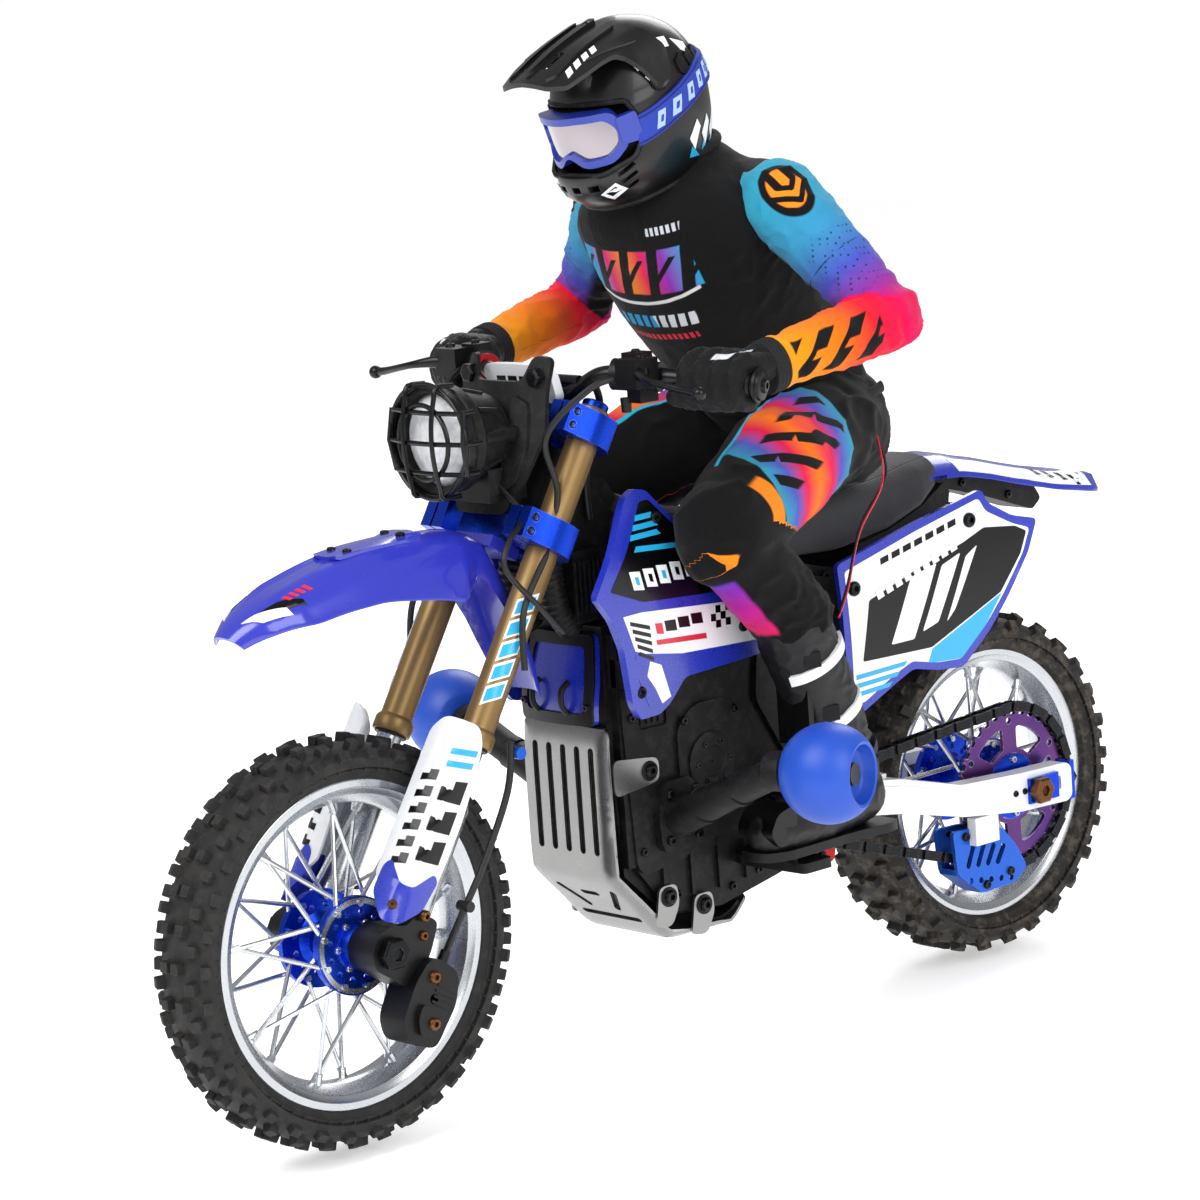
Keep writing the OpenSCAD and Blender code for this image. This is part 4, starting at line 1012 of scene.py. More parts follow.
shape_pad = round_off([(-20, -5), (-17, -8), (17, -8), (20, -5), (21, 6), (18, 9), (-18, 9), (-21, 6)], 2.5)
pad.add(panel(shape_pad, 0, 4.5, pad_place, step=5), 0)
for k, (u0, u1) in enumerate(((-15, -9.5), (-8, -2.5), (-1, 4.5))):
    pad.add(panel([(u0, -3), (u1, -3), (u1 + 1.4, 3.4), (u0 + 1.4, 3.4)], 4.5, 4.7, pad_place), 1)
pad.add(panel([(7, -3), (15, -3), (16.4, 3.4), (8.4, 3.4)], 4.5, 4.7, pad_place), 2)
make("bar_cross_pad", pad, [FILM_WHITE, FILM_BLACK, CYAN], "steering", ["bar_pad"], bevel=0.7)

box_ = Shape()
for side in (-1, 1):
    def at(x, y, z):
        return V(x, y * side, z)

    box_.add(tube([at(50.2, 41, 303.6), at(41.4, 60, 302)], [6.6, 6.2], 24), 0)
    box_.add(block((12, 13, 12), at(52, 57, 305.2)), 0)
    box_.add(block((9, 9, 5), at(45.5, 50.5, 310)), 0)
    box_.add(block((10, 8, 12), at(45, 52, 298)), 0)
    box_.add(screw(at(46, 50.5, 312.4), (0, 0, 1), 1.9, 1.4), 1)
    box_.add(screw(at(52, 60, 311.1), (0, 0, 1), 2.2, 1.5), 1)
    box_.add(screw(at(52.4, 63.4, 303), (0, side, 0), 1.6, 1.2), 1)
    box_.add(tube([at(50, 47, 294), at(50, 47, 288)], [2.4, 2.0], 14), 0)
box_.add(tube([(51.6, -36.4, 304.0), (49.6, -41.5, 303.8)], 5.2, 24), 2)
box_.add(tube([(49, -42.5, 303.7), (48.4, -44, 303.6)], 5.0, 24), 2)
make("bar_control_boxes", box_, [BLACK, SCREW, RED], "steering", ["bar_controls"], bevel=0.6)

for side, name, node, body in ((1, "clutch_lever_blade", "clutch_lever", "lever_left"), (-1, "brake_lever_blade",
        "brake_lever", "lever_right")):
    s = Shape()
    path = [V(54, 60, 305), V(58.5, 66, 305.2), V(62.5, 74, 304.2), V(62.2, 84, 302.4),
            V(60.6, 94, 300.6), V(60, 102, 299.6)]
    pts = [V(p.x, p.y * side, p.z) for p in curve(path, 6)]
    n = len(pts)
    s.add(tube(pts, [3.0 - 1.5 * smooth(k / n * 2.2) + 0.3 * smooth((k / n - 0.6) * 3)
                     for k in range(n)], 16, squash=0.8), 0)
    s.add(ball(pts[-1], 2.9, 20, 12), 0)
    s.add(lathe([(1.4, -2.6), (3.7, -2.6), (3.7, 2.6), (1.4, 2.6)], 28, "z", (52, 60 * side, 305)), 0)
    make(name, s, [SATIN], body, [node], bevel=0.3)


# ------------------------------------------------------------------ bodywork


def shroud_place(side):
    def place(u, v, w):
        bow = 2.6 * sin(max(0.0, min(1.0, (v - 158) / 95)) * pi) - 5.5 * smooth((v - 225) / 30)
        return V(u - 0.12 * w, side * (32.4 + 0.122 * u + bow + w), v)
    return place


SHROUD = [(75, 214), (66, 203), (60, 190), (55, 166), (50, 158.5), (37, 158), (30, 161.5), (20, 171), (-30, 171.5),
          (-36, 196), (-8, 200), (8, 226),
          (31, 252), (39, 253.5), (46, 250), (61, 232)]
wings, film = Shape(), Shape()
for side in (-1, 1):
    place = shroud_place(side)
    wings.add(panel(round_off(SHROUD, 2.5), 0, 2.6, place, step=5), 0)
    rim = [(75, 214), (66, 203), (60, 190), (55, 166), (50, 158.5), (44, 158.3), (49, 165), (54, 190), (60, 204.5),
           (68, 214), (57, 230), (44, 246), (39, 249.6), (39, 253.5), (46, 250), (61, 232)]
    wings.add(panel(round_off(rim, 1), 2.5, 3.5, place, step=5), 0)
    film.add(panel(round_off([(65, 215), (36.5, 248), (31, 248), (10, 224.5), (-3, 203.5), (45, 207.5)], 1.5),
                   2.62, 2.8, place, step=5), 0)
    for k in range(3):
        z = 243 - k * 3.6
        film.add(panel([(31.5 - k * 0.2, z), (41.5 + k * 3.0, z), (42.8 + k * 3.0, z - 2.2), (29.6 - k * 0.2,
                z - 2.2)], 2.8, 2.95, place, step=5), 2)
    for k, (u0, u1) in enumerate(((10, 16.5), (18.5, 25), (27, 33.5), (35.5, 42), (44, 50.5))):
        film.add(panel([(u0, 212.5), (u1, 213.4), (u1 + 2.2, 221.4), (u0 + 2.2, 220.6)], 2.8,
                       2.98, place, step=5), 1)
        film.add(panel([(u0 + 2.4, 214.8), (u1 - 1.8, 215.4), (u1 - 0.9, 218.8), (u0 + 3.3, 218.4)], 2.98, 3.06,
                       place, step=5), 0 if k % 2 else 2)
    film.add(panel([(14, 226), (48, 228.8), (46, 231), (15.6, 228.2)], 2.8, 2.95, place, step=5), 2)
    film.add(panel([(-33, 194.5), (-5, 198.5), (47, 203.5), (58.5, 203.5), (52, 188), (47, 186), (22, 181.5),
                    (-31, 178)], 2.62, 2.82, place, step=5), 1)
    film.add(panel([(52, 186), (51.5, 178), (44, 163), (38, 161.5), (31, 165), (24, 173.5), (23, 179.5), (40, 183)],
                   2.62, 2.8, place, step=5), 3)
    film.add(panel([(43, 182), (36, 179.2), (30, 164.5), (35.6, 162.6), (40, 170), (45, 176)], 2.8,
                   2.98, place, step=5), 1)
    for k in range(5):
        u = 46.4 - k * 0.4
        z = 199.5 - k * 3.4
        film.add(panel([(u - 4, z - 2.4), (u + 8.2 - k * 0.9, z + 1.4), (u + 8.0 - k * 0.9, z - 0.4),
                        (u - 4.2, z - 4.2)], 2.82, 3.0, place, step=5), 0)
    for k in range(4):
        for j in range(3):
            if (k + j) % 2 == 0:
                u, z = -10 + k * 3.2, 188 + j * 3.2
                film.add(panel([(u, z), (u + 3.2, z + 0.3), (u + 3.2, z + 3.5), (u, z + 3.2)], 2.82,
                               2.98, place, step=5), 0)
    for k, (u0, u1, m) in enumerate(((8, 15, 0), (16.5, 23.5, 0), (25, 32, 0), (33.5, 38, 4))):
        film.add(panel([(u0, 192), (u1, 192.8), (u1 + 1, 197.4), (u0 + 1, 196.8)], 2.82, 2.98, place, step=5), m)
    film.add(panel([(6, 185), (38, 188), (38.6, 190.2), (6.4, 187.4)], 2.82, 2.98, place, step=5), 4)
    for at in ((30, 240.4), (-18, 186), (49.5, 170)):
        wings.add(screw(place(*at, 2.9), (0.12 * side, side, 0), 2.6, 1.5), 1)
    wings.add(block((30, 12, 8), (11, side * 27, 200)), 2)
    wings.add(block((8, 12, 12), (44, side * 29, 176)), 2)
make("radiator_shrouds", wings, [BLUE, SCREW, NYLON], "chassis", ["shrouds"], bevel=0.35)
make("radiator_shroud_films", film, [FILM_BLACK, FILM_WHITE, CYAN, BLUE, FILM_RED], "chassis", sharp=60)


def side_place(side):
    def place(u, v, w):
        bow = 1.8 * sin(max(0.0, min(1.0, (v - 135) / 88)) * pi)
        return V(u, side * (24.1 - 0.1045 * u + bow + w), v)
    return place


SIDE = [(-76, 202.5), (-120, 214), (-161, 223.5), (-164, 217), (-177, 209.5), (-191.5, 206), (-185, 192),
        (-171, 173), (-160, 160),
        (-144.5, 146), (-130, 147), (-115.5, 150), (-106, 145.5), (-86, 135), (-79, 136.5),
        (-77.5, 170), (-77, 186)]

panels, film = Shape(), Shape()
for side in (-1, 1):
    place = side_place(side)
    panels.add(panel(round_off(SIDE, 2.5), 0, 2.4, place, step=5), 0)
    field = round_off([(-79.6, 199), (-120, 210.4), (-158.6, 219.8), (-162, 213.6), (-176.5, 206), (-186.5, 202.5),
                       (-181.4, 192), (-168.6, 175.4), (-157.6, 162.8),
                       (-143, 150), (-129, 150.6), (-115, 153.6), (-104, 149), (-87, 139.6),
                       (-82, 140.6), (-81, 170)], 2)
    film.add(panel(field, 2.42, 2.6, place, step=5), 1)
    plate = round_off([(-92, 184.5), (-120, 194), (-147, 201.5), (-160, 206.5), (-178, 204.6), (-184.4, 201.4),
                       (-180, 192), (-167, 176.4), (-126, 158), (-87, 158)], 1.2)
    film.add(panel(plate, 2.6, 2.78, place, step=5), 0)
    # plain slanted slashes, each narrower than the one before it
    for foot, width in ((-103, 13), (-121, 9), (-135, 5)):
        slash = [(foot, 163 + (-103 - foot) * 0.16), (foot - width, 163.4 + (-103 - foot) * 0.3),
                 (foot - width - 15, 195 + (-103 - foot) * 0.14), (foot - 13, 191 + (-103 - foot) * 0.14)]
        film.add(panel(round_off(slash, 1.0), 2.78, 3.0, place, step=5), 1)
    film.add(panel([(-167.6, 176), (-126.4, 157.2), (-124, 151.4), (-129, 150.8), (-143, 150.2), (-157.6, 163)],
                   2.6, 2.78, place, step=5), 2)
    for k in range(3):
        low = 152.6 - k * 3.9
        film.add(panel([(-83, low), (-83, low - 2.1), (-110 + k * 4.4, low - 0.4), (-112 + k * 4.4, low + 1.7)],
                       2.6, 2.78, place, step=5), 2)
    for k in range(7):
        u = -100 - k * 6.6
        film.add(panel([(u, 200.6 - 1.6 + k * 1.66), (u - 4.6, 201.8 - 1.6 + k * 1.66), (u - 4.6, 204.6 - 1.6 + k
                * 1.66), (u, 203.4 - 1.6 + k * 1.66)], 2.6, 2.78, place, step=5), 0)
    for k in range(9):
        u = -97 - k * 5.4
        film.add(panel([(u, 184 - (u + 97) * 0.33), (u - 3.6, 185.2 - (u + 97) * 0.33), (u - 2.2, 189.2 - (u + 97)
                * 0.33), (u + 1.4, 188 - (u + 97) * 0.33)], 2.78, 2.96, place, step=5), 1)
    panels.add(screw(place(-84, 191, 2.6), (0, side, 0), 3.3, 1.8), 1)
    panels.add(screw(place(-152, 211, 2.6), (0, side, 0), 3.3, 1.8), 1)
make("side_number_panels", panels, [BLUE, SCREW], "chassis", ["side_panels"], bevel=0.35)
make("side_panel_films", film, [FILM_BLACK, FILM_WHITE, CYAN], "chassis", sharp=60)

# rear fender: arched shell with a white film, on a black bracket
REAR_TOP = [(-150, 236.5), (-172, 235.5), (-190, 231.5), (-208, 226.5), (-236, 219.5),
            (-262, 214.5), (-273.9, 212.3)]
REAR_HALF = [(-273.9, 11), (-269, 14), (-245, 19), (-210, 22.5), (-172, 23), (-150, 21)]


def rear_place(u, v, w):
    half = table(REAR_HALF, u)
    z = table([(x, h) for x, h in REAR_TOP[::-1]], u)
    r = min(1.05, abs(v) / half)
    ridge = 1.1 * bell(abs(v), 8, 1.8)
    return V(u - 0.22 * w, v, z - 7.5 * r ** 3.2 + ridge + w)


rear = Shape()
us = [-150 - k * 4.0 for k in range(31)] + [-273.9]
outline = [(u, table(REAR_HALF, u)) for u in us] + [(u, -table(REAR_HALF, u)) for u in us[::-1]]
rear.add(panel(outline, -1.6, 0, rear_place, step=3.4), 0)
for side in (-1, 1):
    film_line = [(u, side * (table(REAR_HALF, u) - 0.8)) for u in us[5:-2]] + [(u,
            side * (table(REAR_HALF, u) - 8.5)) for u in us[5:-2][::-1]]
    rear.add(panel(film_line, 0.02, 0.22, rear_place, step=3.4), 1)
    for k in range(4):
        u = -224 - k * 9
        rear.add(panel([(u, side * 12.2), (u - 3.4, side * 12), (u - 6.4, side * 15.6), (u - 3, side * 16.4)], 0.22,
                       0.38, rear_place, step=3), 2)
bracket = round_off([(-160, 222), (-172, 229), (-200, 222), (-232, 212), (-236, 206), (-230, 201.5),
                     (-200, 212), (-176, 219)], 2)
rear.add(panel(bracket, -9.5, 9.5), 3)
rear.add(screw((-214, 9.2, 211), (0, 1, 0), 2.0, 1.4), 4)
rear.add(screw((-184, 9.2, 221), (0, 1, 0), 2.0, 1.4), 4)
rear.add(screw((-214, -9.2, 211), (0, -1, 0), 2.0, 1.4), 4)
rear.add(screw((-184, -9.2, 221), (0, -1, 0), 2.0, 1.4), 4)
make("rear_fender_shell", rear, [BLUE, FILM_WHITE, FILM_BLACK, NYLON, SCREW], "chassis", ["rear_fender"], sharp=50)

# seat: rounded loft with a stitched cover
g = Graph("seat_cover")
weave = g.noise(0.9, 3.0, 0.7)
seam = g.between(g.math("ABSOLUTE", g.y), 13.2, 13.9, 0.25)
SEAT = g.finish(g.mix(g.step(g.x, -28, 0.6), "#2d2e33", "#17181b"), rough=0.78, mottle=0.18,
                grain=0.16, grain_size=0.7,
                bump=g.add(g.times(weave, 0.25), g.times(seam, -0.5)), sheen=0.2)
SEAT_ROWS = [(30, 238, 208, 9), (22, 246, 209, 12), (8, 241, 208.5, 15), (-10, 235, 208, 17), (-34, 231, 208, 18),
             (-66, 229.6, 205, 18.5), (-98, 229.6, 203, 20),
             (-126, 232, 207, 22), (-146, 235.6, 214, 22.5), (-156, 237, 221, 20.5)]
rings = []
for k in range(64):
    t = k / 63 * (len(SEAT_ROWS) - 1)
    i = min(int(t), len(SEAT_ROWS) - 2)
    x, top, low, half = (lerp(a, b, t - i) for a, b in zip(SEAT_ROWS[i], SEAT_ROWS[i + 1]))
    ring = []
    for j in range(40):
        a = j * TAU / 40
        c, s_ = cos(a), sin(a)
        p = 0.62
        yy = half * copysign(abs(c) ** p, c)
        zz = (top + low) / 2 + (top - low) / 2 * copysign(abs(s_) ** p, s_)
        crown = 1.6 * (1 - (yy / half) ** 2) if s_ > 0 else 0
        soft = 0.35 * noise.noise(V(x / 9, yy / 7, zz / 7))
        ring.append(V(x, yy * (1 + soft * 0.02), zz + crown + soft))
    rings.append(ring)
s = Shape()
s.add(skin(rings), 0)
s.add(panel([(-104, 206), (-126, 210), (-146, 217), (-160, 225), (-164, 221), (-162, 210), (-148, 200), (-120, 195),
             (-104, 197)], -21, 21), 1)
make("seat_and_tank_cover", s, [SEAT, NYLON], "chassis", ["seat"], sharp=50)

# front hatch: blue face with a black frame and two hooks
hatch = Shape()


def hatch_place(u, v, w):
    return V(52.5 + 8.5 * bell(v, 160, 26) - 0.006 * u * u + w, u, v)


hatch.add(panel(round_off([(-22, 155), (22, 155), (22.5, 172), (19, 193), (-19, 193), (-22.5, 172)], 2.5), -2.6, 0,
                hatch_place, step=4), 0)
hatch.add(panel(round_off([(-22, 155), (22, 155), (22.5, 172), (19, 193), (-19, 193), (-22.5, 172)],
                          2.5), 0, 1.2, hatch_place,
                [round_off([(-17.5, 160), (17.5, 160), (18, 171), (15.5, 188), (-15.5, 188), (-18, 171)], 2.5)],
                step=4), 1)
for y in (-9, 9):
    hatch.add(tube(curve([hatch_place(y, 160, 1), hatch_place(y, 164, 4), hatch_place(y, 170, 4.4),
                          hatch_place(y, 173, 1)], 4), 1.3, 10), 1)
for side in (-1, 1):
    hatch.add(screw(hatch_place(side * 19.6, 163, 1.2), (1, 0, 0), 1.6, 1.2), 2)
make("front_hatch_cover", hatch, [BLUE, BLACK, SCREW], "chassis", ["front_hatch"], bevel=0.3)

# skid plate: folded steel with slots and bolted side tabs
FOLD = curve([V(53.6, 0, 153), V(56.6, 0, 150), V(57.2, 0, 120), V(57, 0, 92), V(54.5, 0, 86.4), V(42, 0, 73.4),
              V(30, 0, 60.4), V(24, 0, 57.4), V(8, 0, 57), V(-8, 0, 57),
              V(-16, 0, 60), V(-24, 0, 65)], 5)
FOLD_S = [0.0]
for p, q in zip(FOLD, FOLD[1:]):
    FOLD_S.append(FOLD_S[-1] + (q - p).length)


def skid_place(u, v, w):
    v = max(0.0, min(FOLD_S[-1] - 1e-4, v))
    i = max(k for k in range(len(FOLD_S) - 1) if FOLD_S[k] <= v)
    p = FOLD[i].lerp(FOLD[i + 1], (v - FOLD_S[i]) / (FOLD_S[i + 1] - FOLD_S[i]))
    d = (FOLD[i + 1] - FOLD[i]).normalized()
    turn = smooth((abs(u) - 24.5) / 3.2)
    return p + V(0, u - copysign(turn * 0.9, u), 0) + V(-d.z, 0, d.x) * (w - turn * 2.0)


skid = Shape()
end = FOLD_S[-1]
outline = round_off([(-24, 0), (24, 0), (27, 4), (27.5, 60), (27.5, 104), (27, end - 24), (20, end), (-20, end),
                     (-27, end - 24), (-27.5, 104), (-27.5, 60), (-27, 4)], 3)
slots = [slot_hole((k * 8.8, 12), (k * 8.8, 55), 1.75) for k in (-2, -1, 0, 1, 2)]
slots += [slot_hole((-17, 77), (-9, 90), 1.7), slot_hole((17, 77), (9, 90), 1.7), slot_hole((-17, 97), (17, 97),
        1.6), slot_hole((-4, 80), (4, 80), 1.6),
          slot_hole((-14, 116), (14, 116), 1.7), slot_hole((-14, 124), (14, 124), 1.7)]
skid.add(panel(outline, -0.6, 0.7, lambda u, v, w: skid_place(u, v, w), slots, step=4), 0)
for side in (-1, 1):
    for x, z, reach in ((34, 132, 20), (28, 76, 13), (8, 68.5, 8)):
        tab = round_off([(x - 5.5, z - 5), (x + 2, z - 6), (x + reach, z - 8), (x + reach, z + 8), (x + 2, z + 6),
                         (x - 5.5, z + 5)], 3.5) if x > 30 else \
            round_off([(x - 5, z + 5), (x + 5, z + 5), (x + 8, z - 12), (x - 1, z - 13), (x - 6, z - 4)], 3.2)
        skid.add(panel(tab, side * 26.3, side * 27.5, None, [disc(x, z, 1.9, 16)]), 0)
        skid.add(lathe([(1.6, side * 27.5), (4.4, side * 27.5), (4.2, side * 28.2),
                        (1.6, side * 28.2)], 28, "y", (x, 0, z)), 1)
        skid.add(screw((x, side * 28.1, z), (0, side, 0), 3.1, 1.8), 2)
make("skid_plate_sheet", skid, [STEEL, NYLON, SCREW], "chassis", ["skid_plate"], bevel=0.25)
liner = Shape()
liner.add(panel([(-25, 6), (25, 6), (25, 104), (21, end - 6), (-21, end - 6), (-25, 104)], -2.6,
                -0.7, skid_place, step=6), 0)
make("skid_plate_liner", liner, [NYLON], "chassis")

# chassis: the CAD shells carry ribs, a gear cover, screws and a corrugated duct
trim = Shape()
for side in (-1, 1):
    cover = round_off([(48, 190), (47, 152), (44, 92), (40, 88), (20, 90), (2, 96), (-22, 96),
                       (-26, 104), (-26, 190)], 4)
    trim.add(panel(cover, side * 25.6, side * 27.2, None,
                   [round_off([(22, 150), (22, 184), (38, 184), (38, 150)], 2)]), 0)
    trim.add(panel(round_off([(23, 151), (23, 183), (37, 183), (37, 151)], 2), side * 25.2, side * 26.2), 0)
    for k in range(4):
        trim.add(block((1.8, 1.4, 30), (25.5 + k * 3.4, side * 26.4, 167)), 0)
    trim.add(panel(round_off([(18, 148), (18, 104), (-20, 104), (-20, 148), (-10, 156), (8, 156)], 5),
                   side * 27, side * 29.0), 0)
    trim.add(lathe([(0.5, side * 28.6), (13, side * 28.6), (13, side * 30.2), (11.6, side * 31.0), (7, side * 31.0),
                    (6.4, side * 30.0), (0.5, side * 30.0)], 64, "y", (0, 0, 130)), 0)
    for k in range(6):
        a = k * TAU / 6
        trim.add(screw((9.3 * cos(a), side * 30.8, 130 + 9.3 * sin(a)), (0, side, 0), 1.3, 1.0, 12), 1)
    for x, z in ((14, 150), (-16, 150), (14, 108), (-16, 108), (42, 186), (42, 156), (40, 98)):
        trim.add(screw((x, side * (28.8 if x < 20 else 27), z), (0, side, 0), 1.9, 1.4, 16), 1)
    low = round_off([(44, 92), (24, 68), (-8, 65.5), (-30, 70), (-44, 80), (-52, 92), (-40, 104), (-12, 99),
                     (12, 98), (30, 102), (42, 104)], 4)
    trim.add(panel(low, side * 21, side * 24.6, None, [disc(-32, 84, 4)]), 0)
    for x in (-36, -20, -4, 12, 28):
        trim.add(block((2.0, 3.2, 22), (x, side * 24.8, 84 + abs(x) * 0.06)), 0)
    for x, z in ((-28, 76), (-12, 72), (20, 75), (36, 92)):
        trim.add(screw((x, side * 24.4, z), (0, side, 0), 2.0, 1.5, 16), 1)
    rear_plate = round_off([(-54, 116), (-80, 116), (-83, 150), (-96, 176), (-90, 194), (-60, 200),
                            (-40, 196), (-34, 150)], 4)
    trim.add(panel(rear_plate, side * 21.2, side * 23.4, None,
                   [round_off([(-50, 140), (-74, 140), (-78, 160), (-70, 184), (-52, 184)], 3)]), 0)
    for x, z in ((-58, 122), (-76, 122), (-86, 180), (-46, 190)):
        trim.add(screw((x, side * 23.2, z), (0, side, 0), 1.9, 1.4, 16), 1)
    # pivot cap
    trim.add(lathe([(0.5, side * 43.2), (6.4, side * 43.2), (6.4, side * 44.8), (5.4, side * 45.4),
                    (0.5, side * 45.4)], 40, "y", (-62, 0, 101)), 1)
make("chassis_covers", trim, [NYLON, SCREW], "chassis", bevel=0.35)

duct = Shape()
path = curve([V(62, 10, 236), V(68, 12, 222), V(66, 13, 206), V(58, 12, 196)], 12)
duct.add(tube(path, [5.2 + 0.8 * (k % 2) for k in range(len(path))], 20), 0)
path = curve([V(62, -10, 236), V(68, -12, 222), V(66, -13, 206), V(58, -12, 196)], 12)
duct.add(tube(path, [5.2 + 0.8 * (k % 2) for k in range(len(path))], 20), 0)
duct.add(block((18, 40, 30), (52, 0, 214), 0.9), 0)
for side in (-1, 1):
    for k in range(7):
        duct.add(block((1.2, 1.6, 22), (46 + k * 2.6, side * 20.4, 214)), 0)
duct.add(panel(round_off([(58, 250), (66, 238), (64, 206), (40, 200), (20, 206), (26, 240), (44, 256)], 4), -8, 8),
         0)
make("head_fairing", duct, [NYLON], "chassis", bevel=0.3)

bar = Shape()
for side in (-1, 1):
    def at(x, y, z):
        return V(x, y * side, z)

    foot = [at(20, 27, 110), at(21, 34, 112), at(23, 52, 119), at(24, 76, 129), at(24, 92, 136)]
    line = curve(foot, 8)
    bar.add(tube(line, [9.4 - 2.8 * smooth(k / (len(line) - 1) * 1.3) for k in range(len(line))], 24, squash=1.15),
            0)
    bar.add(panel(round_off([(8, 96), (32, 96), (34, 110), (30, 126), (14, 127), (6, 112)], 4),
                  side * 26.4, side * 31.5), 0)
    for x, z in ((12, 101), (28, 101), (12, 121), (27, 121)):
        bar.add(screw((x, side * 31.4, z), (0, side, 0), 2.3, 1.7), 1)
    turn = Matrix.Translation((18, 119 * side, 138)) @ Matrix.Rotation(radians(20 * side), 4, "Z")
    flange = [(2.5, -28), (7.4, -28), (8.4, -26), (8.4, -20), (7.0, -18.4), (2.5, -18.4)]
    bar.add(lathe([(r, h * side) for r, h in flange], 40, "y"), 0, turn)
    bar.add(lathe([(r, h * side) for r, h in [(0.2, -26), (2.44, -26), (2.44, 9.2), (4.8, 9.4), (4.8, 12),
                                              (0.2, 12)]], 32, "y"), 1, turn)
    for k in range(3):
        a = line[6 + k * 8]
        bar.add(tube([a, a + V(0.4, 3.0 * side, 1.2)], 9.2 - k * 0.9, 24), 0)
    peg = round_off([(-31, 68), (-14, 68), (-12, 30), (-16, 22), (-29, 22), (-33, 30)], 2.5)
    bar.add(panel([(x, y) for x, y in peg], 82, 86.4, lambda u, v, w: V(u, side * v, w)), 0)
    for k in range(7):
        for x in (-30.4, -14.4):
            bar.add(block((2.0, 3.0, 4.0), (x, side * (34 + k * 4.6), 87.4), 0.5), 0)
make("crash_bar_arms", bar, [NYLON, SCREW], "chassis", ["crash_bars"], bevel=0.4)

for side, name, node, body in ((1, "side_roller_left", "roller_left", "roller_left_body"), (-1, "side_roller_right",
        "roller_right", "roller_right_body")):
    turn = Matrix.Translation((18, 119 * side, 138)) @ Matrix.Rotation(radians(20 * side), 4, "Z")
    arc = [(21 * cos(radians(a)), 21 * sin(radians(a))) for a in range(-54, 42, 4)]
    prof = [(2.6, -16.6), (5, -16.6), (5, -17.4), (11, -17.4), (12.2, -17.0)] + arc + [(15.2, 14.4), (13.6, 15.6),
            (12.4, 15.2), (11.4, 10.4), (10.6, 9.4), (6, 8.9), (2.6, 8.9)]
    s = Shape()
    s.add(lathe([(r, h * side) for r, h in prof], 96, "y"), 0, turn)
    make(name, s, [ROLLER_BLUE], body, [node], sharp=50)

screws = Shape()
for side in (-1, 1):
    for x, z in ((-82, 196), (-100, 202)):
        screws.add(screw((x, side * 21.6, z), (0, side, 0), 2.4, 1.6), 0)
make("subframe_screws", screws, [SCREW], "chassis", ["body_screws"])

# ------------------------------------------------------------------ rear end

arm = Shape()
for side in (-1, 1):
    beam = round_off([(-78, 107), (-100, 103.6), (-138, 93.4), (-176, 91.2), (-207, 90.4), (-210, 88), (-210, 75),
                      (-207, 72.6), (-176, 73.6), (-139, 78.6), (-100, 88), (-78, 91.5)], 1.6)
    arm.add(panel(beam, side * 34, side * 43, None, [round_off([(-203, 85.2), (-182, 85.2), (-182, 78.8),
                                                                (-203, 78.8)], 1.5)]), 0)
    arm.add(panel(round_off([(-84, 103), (-100, 100.6), (-134, 91.8), (-134, 82.4), (-100, 91.4), (-84, 94.6)],
                            1.5), side * 43, side * 43.7), 0)
    yoke = round_off([(-54, 106.2), (-86, 106.6), (-92, 104), (-92, 92), (-84, 91), (-56, 93.4)], 2)
    arm.add(panel(yoke, side * 24.6, side * 36, None, [disc(-62, 101, 4.2, 32)]), 0)
    arm.add(lathe([(4.1, side * 36), (7.2, side * 36), (7.2, side * 43), (4.1, side * 43)],
                  48, "y", (-62, 0, 101)), 0)
    # axle block and its adjuster
    arm.add(block((19, 6.4, 11.6), (-190, side * 41.6, 82)), 1)
    arm.add(block((3, 8.6, 17.8), (-210.6, side * 38.6, 81.8)), 1)
    arm.add(rod((-214, side * 38.6, 82), (-199, side * 38.6, 82), 1.3, n=12), 2)
    arm.add(rod((-215.6, side * 38.6, 82), (-212.4, side * 38.6, 82), 2.7, n=6), 2)
    for x in (-172.5, -178.5):
        arm.add(screw((x, side * 42.9, 82.5), (0, side, 0), 1.5, 1.1, 14), 2)
arm.add(block((12, 70, 13), (-93, 0, 99)), 0)
for y in (-5, 5):
    arm.add(panel(round_off([(-82, 101), (-96, 101), (-93, 116), (-84, 116)], 3), y - 1.4, y + 1.4, None,
                  [disc(-88, 112, 1.7, 16)]), 0)
arm.add(rod((-88, -7.4, 112), (-88, 7.4, 112), 1.6), 2)
arm.add(block((10, 9, 5), (-68, 25, 90.4)), 3)
arm.add(panel(round_off([(-60, 70), (-74, 70), (-76, 78), (-70, 90), (-62, 90), (-58, 80)], 2), 20, 24.5), 3)
arm.add(screw((-67, 24.4, 74), (0, 1, 0), 1.9, 1.3), 2)
make("swingarm_beams", arm, [WHITE, ANODISED, SCREW, RED], "swingarm_body", ["swingarm"], bevel=0.6)

